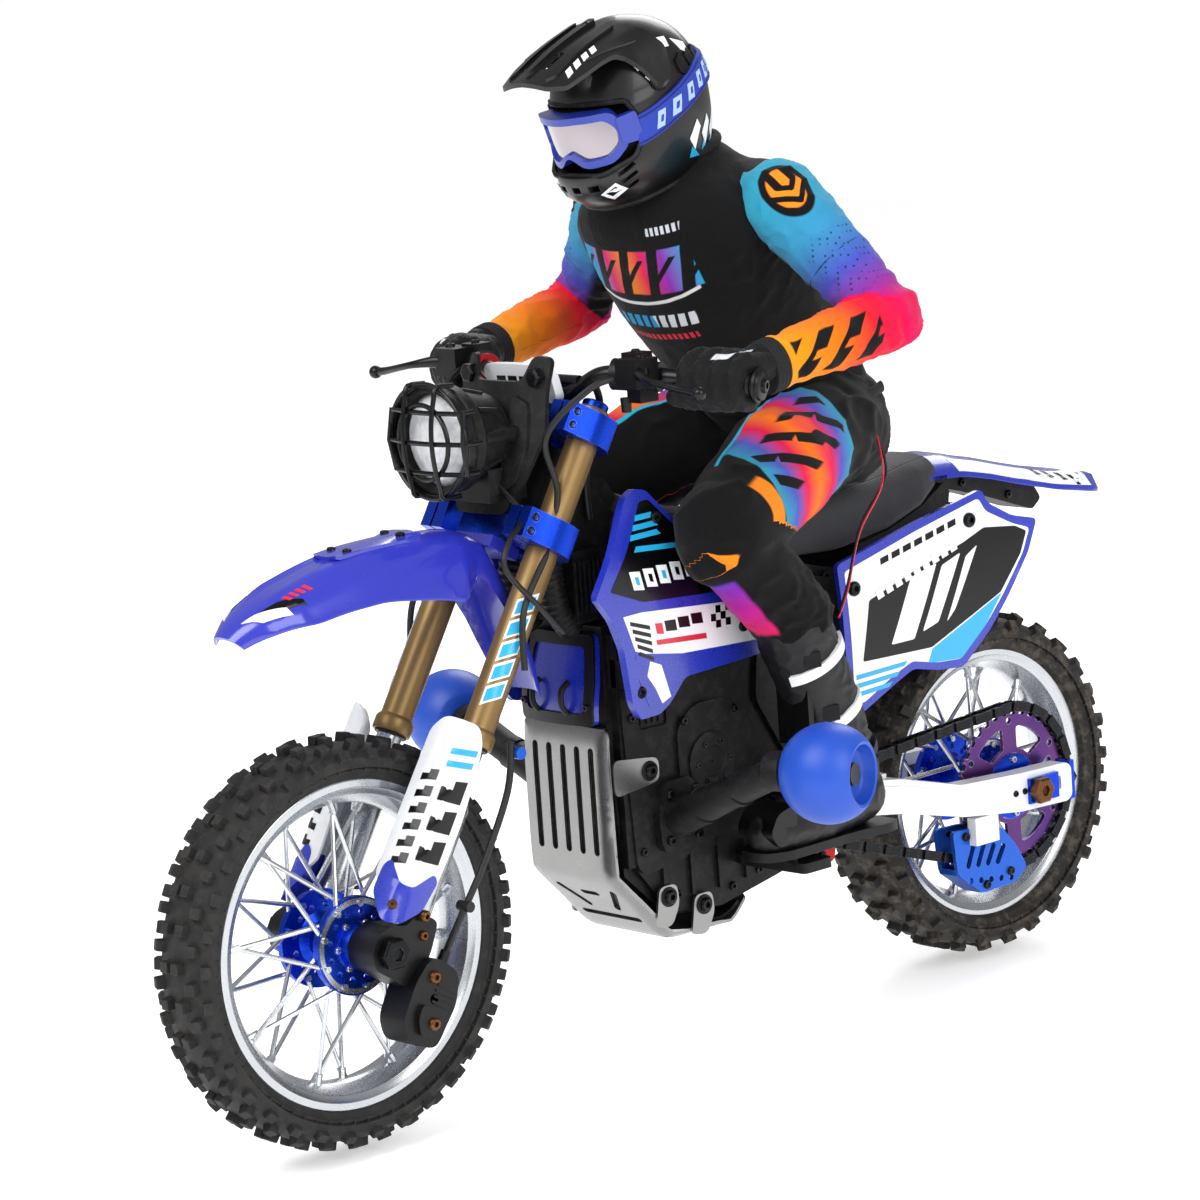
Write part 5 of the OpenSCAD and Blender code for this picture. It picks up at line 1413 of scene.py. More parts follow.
guide = Shape()
GUIDE = round_off([(-140, 70), (-156, 69.5), (-172, 66), (-181, 56), (-187, 45), (-180, 39.5),
                   (-157, 38.5), (-142, 50)], 2.5)
cuts = [slot_hole((-149 - k * 6.4, 53 - k * 0.6), (-153 - k * 6.4, 62 - k * 1.6), 1.5)
        for k in range(4)] + [disc(-150 - k * 6.6, 45.6 - k * 0.9, 1.5, 14) for k in range(5)]
for y in (21.3, 31.7):
    guide.add(panel(GUIDE, y, y + 2.1, None, cuts), 0)
guide.add(panel([(-158, 41), (-142, 52), (-142, 49.4), (-157, 38.6), (-178, 38.6), (-178, 40.6)], 22, 33), 0)
for x, z in ((-148, 66.5), (-166, 63.5), (-176, 45), (-160, 42)):
    guide.add(rod((x, 20.4, z), (x, 34.8, z), 1.7, n=18), 1)
    guide.add(screw((x, 33.8, z), (0, 1, 0), 2.1, 1.4, 16), 1)
guide.add(block((15, 5, 12.6), (-158, 35.6, 68.4)), 2)
make("chain_guide_plates", guide, [GUIDE_BLUE, SCREW, WHITE], "swingarm_body", ["chain_guide"], bevel=0.3)

axle = Shape()
axle.add(rod((-186, -47, 82), (-186, 47, 82), 3.0))
for side in (-1, 1):
    axle.add(lathe([(0.5, side * 44.8), (6.2, side * 44.8), (6.4, side * 45.4), (6.4, side * 48.6),
                    (5.4, side * 49.4), (2.6, side * 49.4), (2.3, side * 47.6),
                    (0.5, side * 47.6)], 6, "y", REAR_AXLE))
make("rear_axle_bolt", axle, [BRONZE], "swingarm_body", ["rear_axle"], bevel=0.4)

# sprocket: toothed ring, curved windows with bare edges, carrier
g = Graph("sprocket_violet")
SPROCKET = g.finish(g.mix(g.noise(20.0, 2.0), "#3f2670", "#6c3f78"), rough=0.3, metal=0.85, mottle=0.08,
                    wear="#e8e2ee", wear_amount=0.95)
ring_, teeth, pr = Shape(), 36, 36.43
edge = []
for k in range(teeth):
    for c, r in ((-0.32, -3.7), (-0.24, -3.4), (-0.13, -1.9), (0.0, -1.6), (0.13, -1.9),
                 (0.24, -3.4), (0.32, -3.7)):
        a = (k + c) * TAU / teeth
        edge.append(((pr + r) * cos(a), (pr + r) * sin(a)))
windows = []
for k in range(6):
    a0 = k * TAU / 6
    hole = [(27.6 * cos(a0 + t), 27.6 * sin(a0 + t)) for t in (-0.36, -0.18, 0, 0.18, 0.36)] + \
           [(17.4 * cos(a0 + t), 17.4 * sin(a0 + t)) for t in (0.26, 0.12, 0, -0.12, -0.26)]
    windows.append(round_off(hole, 2.0))
    windows.append(disc(30.2 * cos(a0 + TAU / 12), 30.2 * sin(a0 + TAU / 12), 1.6, 14))
ring_.add(panel(edge, 26.6, 28.4, lambda u, v, w: REAR_AXLE + V(u, w, v), [disc(0, 0, 9, 40)] + windows), 0)
ring_.add(lathe([(3.3, 19.4), (11.5, 19.4), (12.5, 20.4), (15.0, 26.2), (15.0, 29.2), (12, 29.9), (8, 29.9),
                 (7, 31.5), (3.3, 31.5)], 64, "y", REAR_AXLE), 1)
for k in range(6):
    a = (k + 0.5) * TAU / 6
    ring_.add(screw(REAR_AXLE + V(12.4 * cos(a), 29.6, 12.4 * sin(a)), (0, 1, 0), 1.8, 1.4, 14), 2)
make("rear_sprocket_disc", ring_, [SPROCKET, ANODISED, CHROME], "rear_wheel", ["rear_sprocket"], bevel=0.4)


# ------------------------------------------------------------------ rider


def crease(p, size, stretch, seed):
    """Sharp-ridged folds, about size mm apart, drawn out along the axes by stretch."""
    q = V(p.x / (size * stretch[0]) + seed, p.y / (size * stretch[1]) + seed * 0.7,
          p.z / (size * stretch[2]) - seed)
    return (1 - min(1.0, abs(noise.noise(q)) * 2.4)) ** 2 + 0.4 * noise.noise(q * 2.3)


def along(p, points):
    """How far along a bent path p lies, 0 to 1, and the nearest path point."""
    total = sum((b - a).length for a, b in zip(points, points[1:]))
    best, run = None, 0.0
    for a, b in zip(points, points[1:]):
        d = b - a
        t = max(0.0, min(1.0, (p - a).dot(d) / d.length_squared))
        q = a + d * t
        k = (p - q).length
        if best is None or k < best[0]:
            best = (k, (run + t * d.length) / total, q)
        run += d.length
    return best[1], best[2]


def limb(shape, a, b, ra, rb, flat=1.0):
    """Round-ended limb as a chain of rings."""
    a, b = Vector(a), Vector(b)
    d = (b - a).normalized()
    pts, rad = [], []
    for k in range(1, 6):
        t = radians(90 - k * 15)
        pts.append(a - d * ra * sin(t))
        rad.append(ra * cos(t))
    n = max(3, int((b - a).length / 3))
    for k in range(n + 1):
        pts.append(a.lerp(b, k / n))
        rad.append(lerp(ra, rb, k / n))
    for k in range(5, 0, -1):
        t = radians(90 - k * 15)
        pts.append(b + d * rb * sin(t))
        rad.append(rb * cos(t))
    shape.add(tube(pts, rad, 28, squash=flat))


SHOULDER, ELBOW, WRIST = V(-41, 51, 365), V(-57, 96, 315), V(10, 87, 302.5)


def fabric(name, base_of, rough=0.9, knit=0.9, extra_bump=None, sheen=0.08):
    """Knitted or woven cloth: base_of(graph) gives the colour."""
    g = Graph(name, rest=True)
    col = base_of(g)
    thread = g.noise(knit, 2.0, 0.6)
    wav = g.tree.nodes.new("ShaderNodeTexWave")
    wav.inputs["Scale"].default_value = 0.55
    g.tree.links.new(g.pos, wav.inputs["Vector"])
    bump = g.add(g.times(thread, 0.14), g.times(wav.outputs["Fac"], 0.05))
    if extra_bump:
        bump = g.add(bump, extra_bump(g))
    return g.finish(col, rough=rough, mottle=0.16, grain=0.06, grain_size=0.6, bump=bump,
                    sheen=sheen, vary=0.1, shine=0.2)


def fade(g, value):
    return g.ramp(value, [(0.0, "#2f9cba"), (0.2, "#3690bc"), (0.35, "#454fba"), (0.45, "#8e2c9a"),
                          (0.55, "#e0004e"), (0.68, "#f2142c"), (0.82, "#f87404"), (1.0, "#f89a0c")])


def slanted(g, along_, across, period, duty, lean, soft=0.02):
    """Slanted bars: 1 inside a bar."""
    v = g.math("FRACT", g.math("DIVIDE", g.add(along_, g.times(across, lean)), period))
    return g.between(v, 0.08, 0.08 + duty, soft)


# torso
JERSEY_ROWS = [((-56, 262), (-120, 281), 33), ((-42, 276), (-114, 293), 34), ((-24, 298), (-104, 316), 38),
               ((-8, 320), (-91, 338), 43.5),
               ((1, 340), (-78, 357), 48), ((5, 354), (-66, 370), 49.5), ((4, 366), (-56, 381), 41),
               ((-1, 375), (-50, 388), 29), ((-3, 381), (-46, 391.5), 23)]
rings = []
dense = [curve([V(f[0], f[1], 0) for f, _, _ in JERSEY_ROWS], 6), curve([V(b[0], b[1], 0)
        for _, b, _ in JERSEY_ROWS], 6),
         curve([V(w, 0, 0) for _, _, w in JERSEY_ROWS], 6)]
for f, b, w in zip(*dense):
    c, h = (f + b) / 2, (f - b) / 2
    ring = []
    for j in range(56):
        a = j * TAU / 56
        ca = copysign(abs(cos(a)) ** 0.86, cos(a))
        sa = copysign(abs(sin(a)) ** 0.86, sin(a))
        ring.append(V(c.x + h.x * ca, w.x * sa, c.y + h.y * ca))
    rings.append(ring)
torso = Shape()
torso.add(skin(rings))
for side in (-1, 1):
    limb(torso, (-46, 24 * side, 364), (-43, 47 * side, 365), 19, 17.5)
TORSO_AXIS = [V(-92, 0, 272), V(-24, 0, 384)]


def jersey_fold(p, n):
    h = along(p, TORSO_AXIS)[0]
    waist = smooth((0.45 - h) / 0.4)
    belly = crease(p, 17, (1.0, 2.4, 0.7), 3.1) * (0.5 + 1.5 * waist)
    side = crease(p, 15, (1.4, 1.0, 1.6), 8.4) * 0.9
    pit = crease(p, 9, (1.0, 0.8, 1.7),
                 5.7) * smooth((abs(p.y) - 26) / 16) * smooth((h - 0.35) / 0.3) * smooth((0.85 - h) / 0.2)
    return 0.62 * (belly + side * 0.6 + pit * 1.5) - 0.5 + 1.2 * waist * smooth((0.12 - h) / 0.1)


def jersey_colour(g):
    h = g.math("ADD", g.math("ADD", g.times(g.x, 0.519), g.times(g.z, 0.855)), -184.8)
    front = g.step(g.line(0.855, 0, -0.519, 190), 1.0, 4)
    across = g.y
    big = g.times(slanted(g, across, h, 16.5, 0.66, -0.3), g.between(h, 94, 114, 0.4))
    big = g.times(big, g.between(across, -33, 33, 0.3))
    hue = g.ramp(g.math("DIVIDE", g.add(across, 33), 66, True),
                 [(0, "#16a5c8"), (0.12, "#2a8fd0"), (0.3, "#d8206c"), (0.48, "#f08a1c"), (0.62, "#e8244e"),
                  (0.8, "#8a2fb0"), (1, "#1ca4d8")])
    col = g.mix(g.times(big, front), "#060608", hue)
    notch = g.times(slanted(g, across, h, 16.5, 0.2, -1.1), g.between(h, 98, 110, 0.3))
    col = g.mix(g.times(notch, front), col, "#060608")
    arc = g.add(h, g.times(g.times(across, across), -0.004))
    line = g.times(g.between(arc, 88.6, 90.2, 0.3), g.between(across, -31, 31, 0.4))
    col = g.mix(g.times(line, front), col, "#e8e8ea")
    mid = g.times(slanted(g, across, h, 5.2, 0.66, -0.25), g.between(h, 76.5, 83, 0.3))
    mid = g.times(mid, g.between(across, -22, 24, 0.3))
    col = g.mix(g.times(mid, front), col, g.mix(g.step(across, 2, 0.3), "#1a9fd8", "#dfe3e8"))
    low = g.times(slanted(g, across, h, 3.1, 0.6, 0.0), g.between(h, 69.5, 72.5, 0.25))
    low = g.times(low, g.between(across, -20, 20, 0.3))
    col = g.mix(g.times(low, front), col, "#e02a44")
    chest = g.times(g.between(across, 15, 31, 0.2), g.times(slanted(g, across, h, 2.6, 0.6, 0.2),
                                                            g.between(h, 120, 123, 0.2)))
    col = g.mix(g.times(chest, front), col, "#c9ced4")
    row = g.times(g.between(h, 88, 104, 0.4), g.between(across, -30, 30, 0.3))
    row = g.times(slanted(g, across, h, 12, 0.6, -0.2), row)
    col = g.mix(g.times(g.invert(front), row), col, hue)
    return col


JERSEY = fabric("jersey_cloth", jersey_colour)
cloth("rider_jersey_cloth", melt("t", torso, 1.5, 8), JERSEY, jersey_fold, "chassis", ["rider_jersey"])

collar = Shape()
ring = dense[0][-1], dense[1][-1], dense[2][-1]
c, h = (ring[0] + ring[1]) / 2, (ring[0] - ring[1]) / 2
loop = [V(c.x + h.x * 1.02 * cos(a), 22.6 * sin(a), c.y + h.y * 1.02 * cos(a) + 1.4)
        for a in [j * TAU / 60 for j in range(61)]]
collar.add(tube(loop, 2.3, 12), 0)
for k in range(16):
    p = V(-49 - k * 1.15, 0, 389.5 - k * 1.42)
    collar.add(block((1.4, 2.4, 0.8), (0, 0, 0)), 1, Matrix.Translation(p + V(-1.2, 0,
            1.6)) @ Matrix.Rotation(radians(-52), 4, "Y"))
make("jersey_collar_and_zip", collar, [plain("collar_rib", "#101013", rough=0.9, mottle=0.1,
                                             grain=0.15), SCREW], "chassis")


# sleeves
def arm_path(side):
    return [V(p.x, p.y * side, p.z) for p in (SHOULDER + V(2, -8, 0), SHOULDER, ELBOW, WRIST)]


def sleeve_colour(g):
    s, turn = g.attr("s"), g.attr("turn")
    col = fade(g, g.math("DIVIDE", g.add(s, -0.04), 0.9, True))
    under = g.step(turn, 0.30, 0.03)
    upper = g.invert(g.step(s, 0.52, 0.02))
    col = g.mix(g.times(under, upper), col, "#070709")
    patch = g.invert(g.step(g.attr("oval"), 1.0, 0.04))
    col = g.mix(patch, col, "#060608")
    inner = g.times(g.invert(g.step(g.attr("oval"), 0.72, 0.04)), slanted(g, g.attr("turn"),
            s, 0.07, 0.5, 1.6, 0.04))
    col = g.mix(inner, col, g.mix(g.step(s, 0.2, 0.05), "#ff8c1e", "#f0207a"))
    blocks = g.times(slanted(g, s, turn, 0.115, 0.5, 0.55, 0.02), g.between(s, 0.62, 0.93, 0.004))
    blocks = g.times(blocks, g.between(turn, -0.16, 0.085, 0.008))
    gap = g.times(g.between(turn, -0.06, -0.02, 0.006), slanted(g, s, turn, 0.115, 0.3, 0.55, 0.02))
    col = g.mix(g.times(blocks, g.invert(gap)), col, "#0b0b0d")
    marks = g.times(slanted(g, s, turn, 0.018, 0.5, 0.4, 0.08), g.times(g.between(s, 0.26, 0.42, 0.004),
            g.between(turn, -0.10, -0.07, 0.004)))
    col = g.mix(marks, col, "#101014")
    dots = g.tree.nodes.new("ShaderNodeTexVoronoi")
    dots.inputs["Scale"].default_value, dots.inputs["Randomness"].default_value = 0.42, 0.12
    g.tree.links.new(g.pos, dots.inputs["Vector"])
    hole = g.times(g.invert(g.step(dots.outputs["Distance"], 0.24, 0.05)), g.times(g.between(s, 0.24, 0.44, 0.03),
            g.between(turn, -0.05, 0.16, 0.03)))
    col = g.mix(hole, col, "#123a55")
    return g.mix(g.step(s, 0.955, 0.004), col, "#141418")


SLEEVE = fabric("sleeve_cloth", sleeve_colour)


def bisect(mesh, at, normal, keep_far):
    """Half of a mesh, cut by a plane and closed."""
    out = mesh.copy()
    bm = bmesh.new()
    bm.from_mesh(out)
    cut = bmesh.ops.bisect_plane(bm, geom=bm.verts[:] + bm.edges[:] + bm.faces[:],
                                 plane_co=at * MM, plane_no=normal,
                                 clear_inner=keep_far, clear_outer=not keep_far)
    edges = [e for e in cut["geom_cut"] if isinstance(e, bmesh.types.BMEdge)]
    bmesh.ops.holes_fill(bm, edges=edges, sides=0)
    bm.to_mesh(out)
    bm.free()
    return out


for side, tag in ((1, "left"), (-1, "right")):
    path = arm_path(side)
    sh, el, wr = path[1], path[2], path[3]
    arm_shape = Shape()
    limb(arm_shape, V(-43, 40 * side, 364), sh, 17, 18)
    limb(arm_shape, sh, lerp(sh, el, 0.5), 18, 15.5)
    limb(arm_shape, lerp(sh, el, 0.5), el, 15.5, 13)
    limb(arm_shape, el, lerp(el, wr, 0.4), 13.4, 13.2)
    limb(arm_shape, lerp(el, wr, 0.4), lerp(el, wr, 0.9), 13.2, 11)

    def turn_of(p, path=path, side=side):
        """Angle round the arm, 0 on the outside and ahead, growing to 0.5 underneath."""
        s_, q = along(p, path)
        d = (path[2] - path[1]) if s_ < 0.5 else (path[3] - path[2])
        d = d.normalized()
        out = V(0.45, side, 0.35) if s_ < 0.5 else V(0.1, side, 0.28)
        out = (out - d * out.dot(d)).normalized()
        r = p - q
        r = (r - d * r.dot(d))
        if r.length < 1e-6:
            return 0.0
        r.normalize()
        other = d.cross(out) * side
        return atan2(r.dot(other), r.dot(out)) / TAU

    centre = sh + V(10, 15 * side, 8)

    def oval(p, c=centre, el=el, sh=sh):
        d = (el - sh).normalized()
        r = p - c
        a = r.dot(d) / 15
        rest_ = r - d * r.dot(d)
        return sqrt(a * a + (rest_.length / 11.5) ** 2)

    def sleeve_fold(p, n, path=path, side=side):
        s_, q = along(p, path)
        bend = bell(s_, 0.5, 0.11)
        cuff = smooth((s_ - 0.78) / 0.15)
        ring_fold = sin(s_ * 88 + 2.2 * noise.noise(p / 11)) * (0.5 * bend + 0.28 * cuff + 0.14)
        return ring_fold + crease(p, 11, (1.2, 1.0, 1.0), 2.0 + side) * (0.8 + 0.7 * bend) - 0.5

    whole = melt("sleeve", arm_shape, 1.3, 8)
    mid = lerp(sh, el, 0.52)
    d = (el - sh).normalized()
    halves = (
        ("upper", False, "chassis", "arm_" + tag, sh + V(0, -9 * side, 0), sh + d * 13, "upper_arm_" + tag),
        ("lower", True, "arm_" + tag, "lower_arm_" + tag, el - d * 15, el + (wr - el).normalized() * 13,
         "forearm_" + tag),
    )
    for part, keep_far, a, b, start, stop, node in halves:
        half = bisect(whole, mid, d, keep_far)
        piece = cloth("sleeve_%s_%s" % (part, tag), half, SLEEVE, sleeve_fold,
                      extra=[("s", lambda p: along(p, path)[0]), ("turn", lambda p: abs(turn_of(p))
                                                                  if along(p, path)[0] < 0.5
                                                                  else turn_of(p)), ("oval", oval)])
        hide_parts(node)
        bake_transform(piece)
    cuff = Shape()
    f = (wr - el).normalized()
    base = lerp(el, wr, 0.9)
    cuff.add(tube([base + f * k * 0.9 for k in range(9)], [11.3 + 0.35 * (k % 2) for k in range(9)], 36), 0)
    make("sleeve_cuff_" + tag, cuff, [plain("cuff_rib_" + tag, "#141417", rough=0.9,
                                            grain=0.15)], "lower_arm_" + tag)


# gloves: palms, four curled fingers and a thumb round each grip
def grip_at(y):
    return V(34.5 - (y - 72) * 0.463, y, 299.9 - (y - 72) * 0.089)


def glove_colour(g):
    y = g.math("ABSOLUTE", g.y)
    knuckle = g.times(g.between(g.z, 309.3, 311.0, 0.2), g.between(y, 84, 90, 0.2))
    return g.mix(knuckle, "#070709", "#d8dade")


GLOVE = fabric("glove_cloth", glove_colour, rough=0.6, extra_bump=lambda g: g.times(g.math("SINE",
        g.times(g.x, 4.2)), g.times(g.step(g.z, 307, 1.5), 0.05)))
hands = Shape()
for y0, length in ((73, 1.0), (80, 1.04), (87, 1.0), (94, 0.9)):
    c = grip_at(y0)
    pts, rad = [], []
    for k, a in enumerate((150, 122, 96, 66, 36, 4, -30, -64, -98, -124)):
        r = (11.4, 11.2, 10.8, 10.3, 10.0, 9.8, 9.6, 9.5, 9.3, 9.0)[k] * length
        t = radians(a)
        pts.append(c + V(r * cos(t), 0, r * sin(t)))
        rad.append((4.3, 4.8, 5.0, 4.6, 4.7, 4.2, 4.4, 4.0, 4.0, 3.2)[k])
    for p, q, ra, rb in zip(pts, pts[1:], rad, rad[1:]):
        limb(hands, p, q, ra, rb)
    limb(hands, V(8, 88 + (y0 - 84) * 0.55, 305), pts[1], 6.4, 5.2)
limb(hands, V(-3, 89.6, 304), V(10, 88, 305.4), 8.6, 9.4)
limb(hands, V(9, 80, 303), V(22, 73, 300), 6.4, 5.4)
limb(hands, V(22, 73, 299), grip_at(68) + V(-2, 0, -9.4), 5.0, 4.6)
limb(hands, grip_at(68) + V(-2, 0, -9.4), grip_at(67) + V(8.4, 0, -6.5), 4.6, 3.9)
for side, tag in ((1, "left"), (-1, "right")):
    both = Shape()
    held = grip_at(84)
    both.verts = [V(held.x + (v.x - held.x) * 0.88, (held.y + (v.y - held.y) * 0.88) * side,
                    held.z + (v.z - held.z) * 0.9) for v in hands.verts]
    both.faces, both.mats = hands.faces, hands.mats
    cloth("glove_" + tag, melt("g", both, 0.8, 3, 0.4), GLOVE,
          lambda p, n: 0.35 * crease(p, 5, (1, 1, 1), 4.4) + 0.2 * noise.noise(p / 2.4), "steering",
          ["gloves"] if side > 0 else [])

# pants
HIP, KNEE, CALF = V(-88, 20, 262), V(7, 56, 233), V(-28, 56, 190)


def leg_path(side):
    return [V(p.x, p.y * side, p.z) for p in (HIP, lerp(HIP, KNEE, 0.5) + V(0, 3, 4), KNEE, CALF)]


legs = Shape()
limb(legs, (-95, -12, 262), (-95, 12, 262), 29, 29)
limb(legs, (-84, -9, 270), (-84, 9, 270), 30, 30)
limb(legs, (-103, -12, 256), (-103, 12, 256), 25, 25)
for side in (-1, 1):
    p = leg_path(side)
    limb(legs, p[0], p[1], 26.5, 25)
    limb(legs, p[1], p[2], 26, 22)
    limb(legs, p[2] + V(2, 0, 1), p[2] + V(2, 0, -6), 21.5, 20)
    limb(legs, p[2] + V(0, 0, -4), p[3], 20, 17.5)


def pants_fold(p, n):
    side = 1 if p.y > 0 else -1
    s_, q = along(p, leg_path(side))
    knee = bell(s_, 0.66, 0.07) * smooth((q.x - p.x + q.z - p.z) / 14)
    hip = bell(s_, 0.06, 0.12)
    ring_fold = sin(s_ * 66 + 3.0 * noise.noise(p / 14)) * (1.2 * knee + 0.5 * hip)
    loose = crease(p, 16, (1.5, 0.9, 1.0), 6.0) * (1.1 + 0.6 * hip)
    calf = crease(p, 10, (1.0, 1.0, 0.6), 1.0) * smooth((s_ - 0.8) / 0.1) * 0.9
    return ring_fold + loose + calf - 0.9


def pants_colour(g):
    s, turn = g.attr("s"), g.attr("turn")
    shift = g.add(s, g.times(turn, 0.22))
    band = g.times(g.between(shift, 0.17, 0.56, 0.004), g.between(turn, -0.25, 0.21, 0.006))
    hue = g.ramp(g.math("DIVIDE", g.add(shift, -0.17), 0.39, True),
                 [(0, "#2f9cba"), (0.2, "#5450bc"), (0.36, "#e2044e"), (0.52, "#fa7a08"), (0.68, "#e60c48"),
                  (0.84, "#4c5abc"), (1, "#2f9cba")])
    col = g.mix(band, "#060608", hue)
    marks = g.times(slanted(g, s, turn, 0.1, 0.42, -0.9, 0.02), g.times(g.between(turn, -0.06, 0.12, 0.006),
            g.between(shift, 0.2, 0.54, 0.004)))
    cut = g.times(slanted(g, s, turn, 0.1, 0.2, 0.8, 0.02), g.between(turn, 0.015, 0.05, 0.004))
    col = g.mix(g.times(marks, g.invert(cut)), col, "#0b0b0d")
    edge = g.times(g.between(turn, 0.21, 0.226, 0.003), g.between(shift, 0.17, 0.60, 0.004))
    col = g.mix(edge, col, "#20b8dc")
    crescent = g.times(g.between(g.add(s, g.times(g.times(turn, turn), -2.2)), 0.566, 0.618, 0.004),
                       g.between(turn, -0.3, 0.06, 0.01))
    col = g.mix(crescent, col, "#ff8a1a")
    calf = g.times(g.between(s, 0.72, 0.95, 0.01), g.between(turn, 0.14, 0.34, 0.01))
    col = g.mix(calf, col, g.ramp(g.math("DIVIDE", g.add(s, -0.7), 0.26, True), [(0, "#5a2fd0"),
            (0.5, "#c01a9c"), (1, "#ff1e64")]))
    return col


def leg_turn(p):
    """Angle round the leg, 0 outside and on top, positive towards the back and below."""
    side = 1 if p.y > 0 else -1
    path = leg_path(side)
    s_, q = along(p, path)
    d = (path[2] - path[0]) if s_ < 0.68 else (path[3] - path[2])
    d = d.normalized()
    out = V(0.0, side, 0.55) if s_ < 0.68 else V(0.2, side, 0)
    out = (out - d * out.dot(d)).normalized()
    r = p - q
    r = r - d * r.dot(d)
    if r.length < 1e-6:
        return 0.0
    r.normalize()
    other = d.cross(out) * side
    return atan2(r.dot(other), r.dot(out)) / TAU


PANTS = fabric("pants_cloth", pants_colour)
cloth("rider_pants_cloth", melt("p", legs, 1.5, 8), PANTS, pants_fold, "chassis", ["rider_pants"],
      [("s", lambda p: along(p, leg_path(1 if p.y > 0 else -1))[0]), ("turn", leg_turn)])

# boots
BOOT = plain("boot_leather", "#0e0e11", rough=0.5, mottle=0.2, grain=0.1, grain_size=0.8,
             wear="#3a3a3e", wear_amount=0.4)
for side, tag in ((1, "left"), (-1, "right")):
    b = Shape()
    limb(b, (-28, 56 * side, 184), (-42, 56 * side, 152), 16.6, 15.6)
    limb(b, (-42, 56 * side, 152), (-55, 56 * side, 118), 15.6, 13.5)
    limb(b, (-57, 56 * side, 108), (-34, 56.5 * side, 104), 14.0, 13.0)
    limb(b, (-40, 56.5 * side, 112), (-22, 57 * side, 103), 12.5, 11.5)
    limb(b, (-30, 57 * side, 102), (-6, 58 * side, 101), 12.5, 11.0)
    mesh = melt("b", b, 1.2, 6)
    for v in mesh.vertices:
        z = v.co.z / MM
        if z < 92:
            v.co.z = (92 - (92 - z) * 0.1) * MM
    cloth("boot_" + tag, mesh, BOOT, lambda p, n: 0.5 * crease(p, 8, (1, 1, 0.7), 7.0) + 0.7 * bell(p.z,
            128, 9) * sin(p.z * 0.95),
          "chassis", ["rider_boots"] if side > 0 else [])
    t = Shape()

    def strap(c, d, r0, r1, width, mat, a0, a1):
        """A band part way round the shaft, centred on c, wrapped about direction d."""
        d = Vector(d).normalized()
        u = V(0, side, 0)
        w = d.cross(u) * side
        n = 20
        band_rings = []
        for k in range(n + 1):
            a = radians(lerp(a0, a1, k / n))
            o = u * cos(a) + w * sin(a)
            rise = d * (3.0 * sin(a))
            band_rings.append([c + o * r0 - d * width / 2 + rise, c + o * r1 - d * width / 2 + rise,
                               c + o * r1 + d * width / 2 + rise, c + o * r0 + d * width / 2 + rise])
        t.add(skin(band_rings), mat)

    shaft = V(-13, 0, -38)
    for frac, rr in ((0.22, 16.6), (0.58, 15.6), (0.9, 14.6)):
        c = lerp(V(-27, 56 * side, 187), V(-55, 56 * side, 118), frac)
        strap(c, shaft, rr - 1, rr + 1.5, 4.4 if frac < 0.8 else 3.6, 0 if frac < 0.8 else 1, -62, 70)
        buckle = Matrix.Translation(c + V(9, side * (rr - 2.2), 1.5)) @ Matrix.Rotation(radians(-38 * side), 4, "Z")
        t.add(block((7, 2.2, 6.4)), 1, buckle)
    sole = round_off([(-72, -11), (-66, -13), (-40, -11.5), (-26, -12.5), (-4, -13), (5, -8), (6.5, 0), (5, 8),
                      (-4, 13), (-26, 12.5), (-40, 11.5), (-66, 13), (-72, 11)], 4)
    t.add(panel(sole, 90.4, 94.4, lambda u, v, w: V(u, 57 * side + v, w)), 1)
    t.add(panel(round_off([(-10, 98), (0, 96), (5, 103), (0, 111), (-12, 114)], 3), -10.5, 10.5, lambda u, v,
                w: V(u, 58 * side + w, v)), 2)
    t.add(block((3.0, 19, 34), (-26, 56 * side, 152)), 2)
    make("boot_trim_" + tag, t, [FILM_WHITE, BLACK, SATIN], "chassis", bevel=0.5)

# waist belt with buckles, and the thin cord to the boot
belt = Shape()
for side in (-1, 1):
    belt.add(tube(curve([(-66, 37.5 * side, 262), (-80, 39.5 * side, 268), (-96, 38.5 * side, 273),
                         (-112, 34 * side, 276)], 6), 2.6, 12, squash=0.45), 0)
    belt.add(block((9, 2.4, 6.5)), 1, Matrix.Translation((-76, 41 * side,
                                                          268)) @ Matrix.Rotation(radians(-16), 4, "Y"))
    belt.add(block((5.4, 2.8, 3.4)), 2, Matrix.Translation((-76, 41.3 * side,
                                                            268)) @ Matrix.Rotation(radians(-16), 4, "Y"))
belt.add(tube(curve([(-100, 41, 258), (-96, 49, 240), (-74, 54, 222), (-56, 62, 200), (-44, 68, 190)], 6), 0.55, 8),
         1)
belt.add(tube(curve([(-100, 41, 258), (-93, 50, 238), (-72, 55, 219), (-55, 63, 198), (-43, 68.4, 188)], 6), 0.45,
              8), 3)
make("waist_straps_and_cord", belt, [plain("strap_web", "#111114", rough=0.8, grain=0.2), BLACK,
                                     SCREW, FILM_RED], "chassis")


# ------------------------------------------------------------------ helmet and goggles

HEAD = Matrix.Translation((-6, 0, 405.5)) @ Matrix.Rotation(radians(20), 4,
                                                            "Y") @ Matrix.Diagonal((0.92, 0.86, 0.98, 1))
SHELL = [(-29.5, 35, -28, 27), (-23, 42.5, -33, 30), (-15, 45, -37, 32), (-7, 42.5, -39, 33.6),
         (3, 38, -40, 34.6), (13, 35, -39, 34.6),
         (22, 30.5, -36, 33), (30, 23, -30.5, 28.6), (36, 14, -23, 21.5), (39.6, 5, -15, 13), (41.2, -1, -9, 4.5)]
SHELL_FINE = curve([V(z, f, b) for z, f, b, w in SHELL], 5), curve([V(z, w, 0) for z, f, b, w in SHELL], 5)


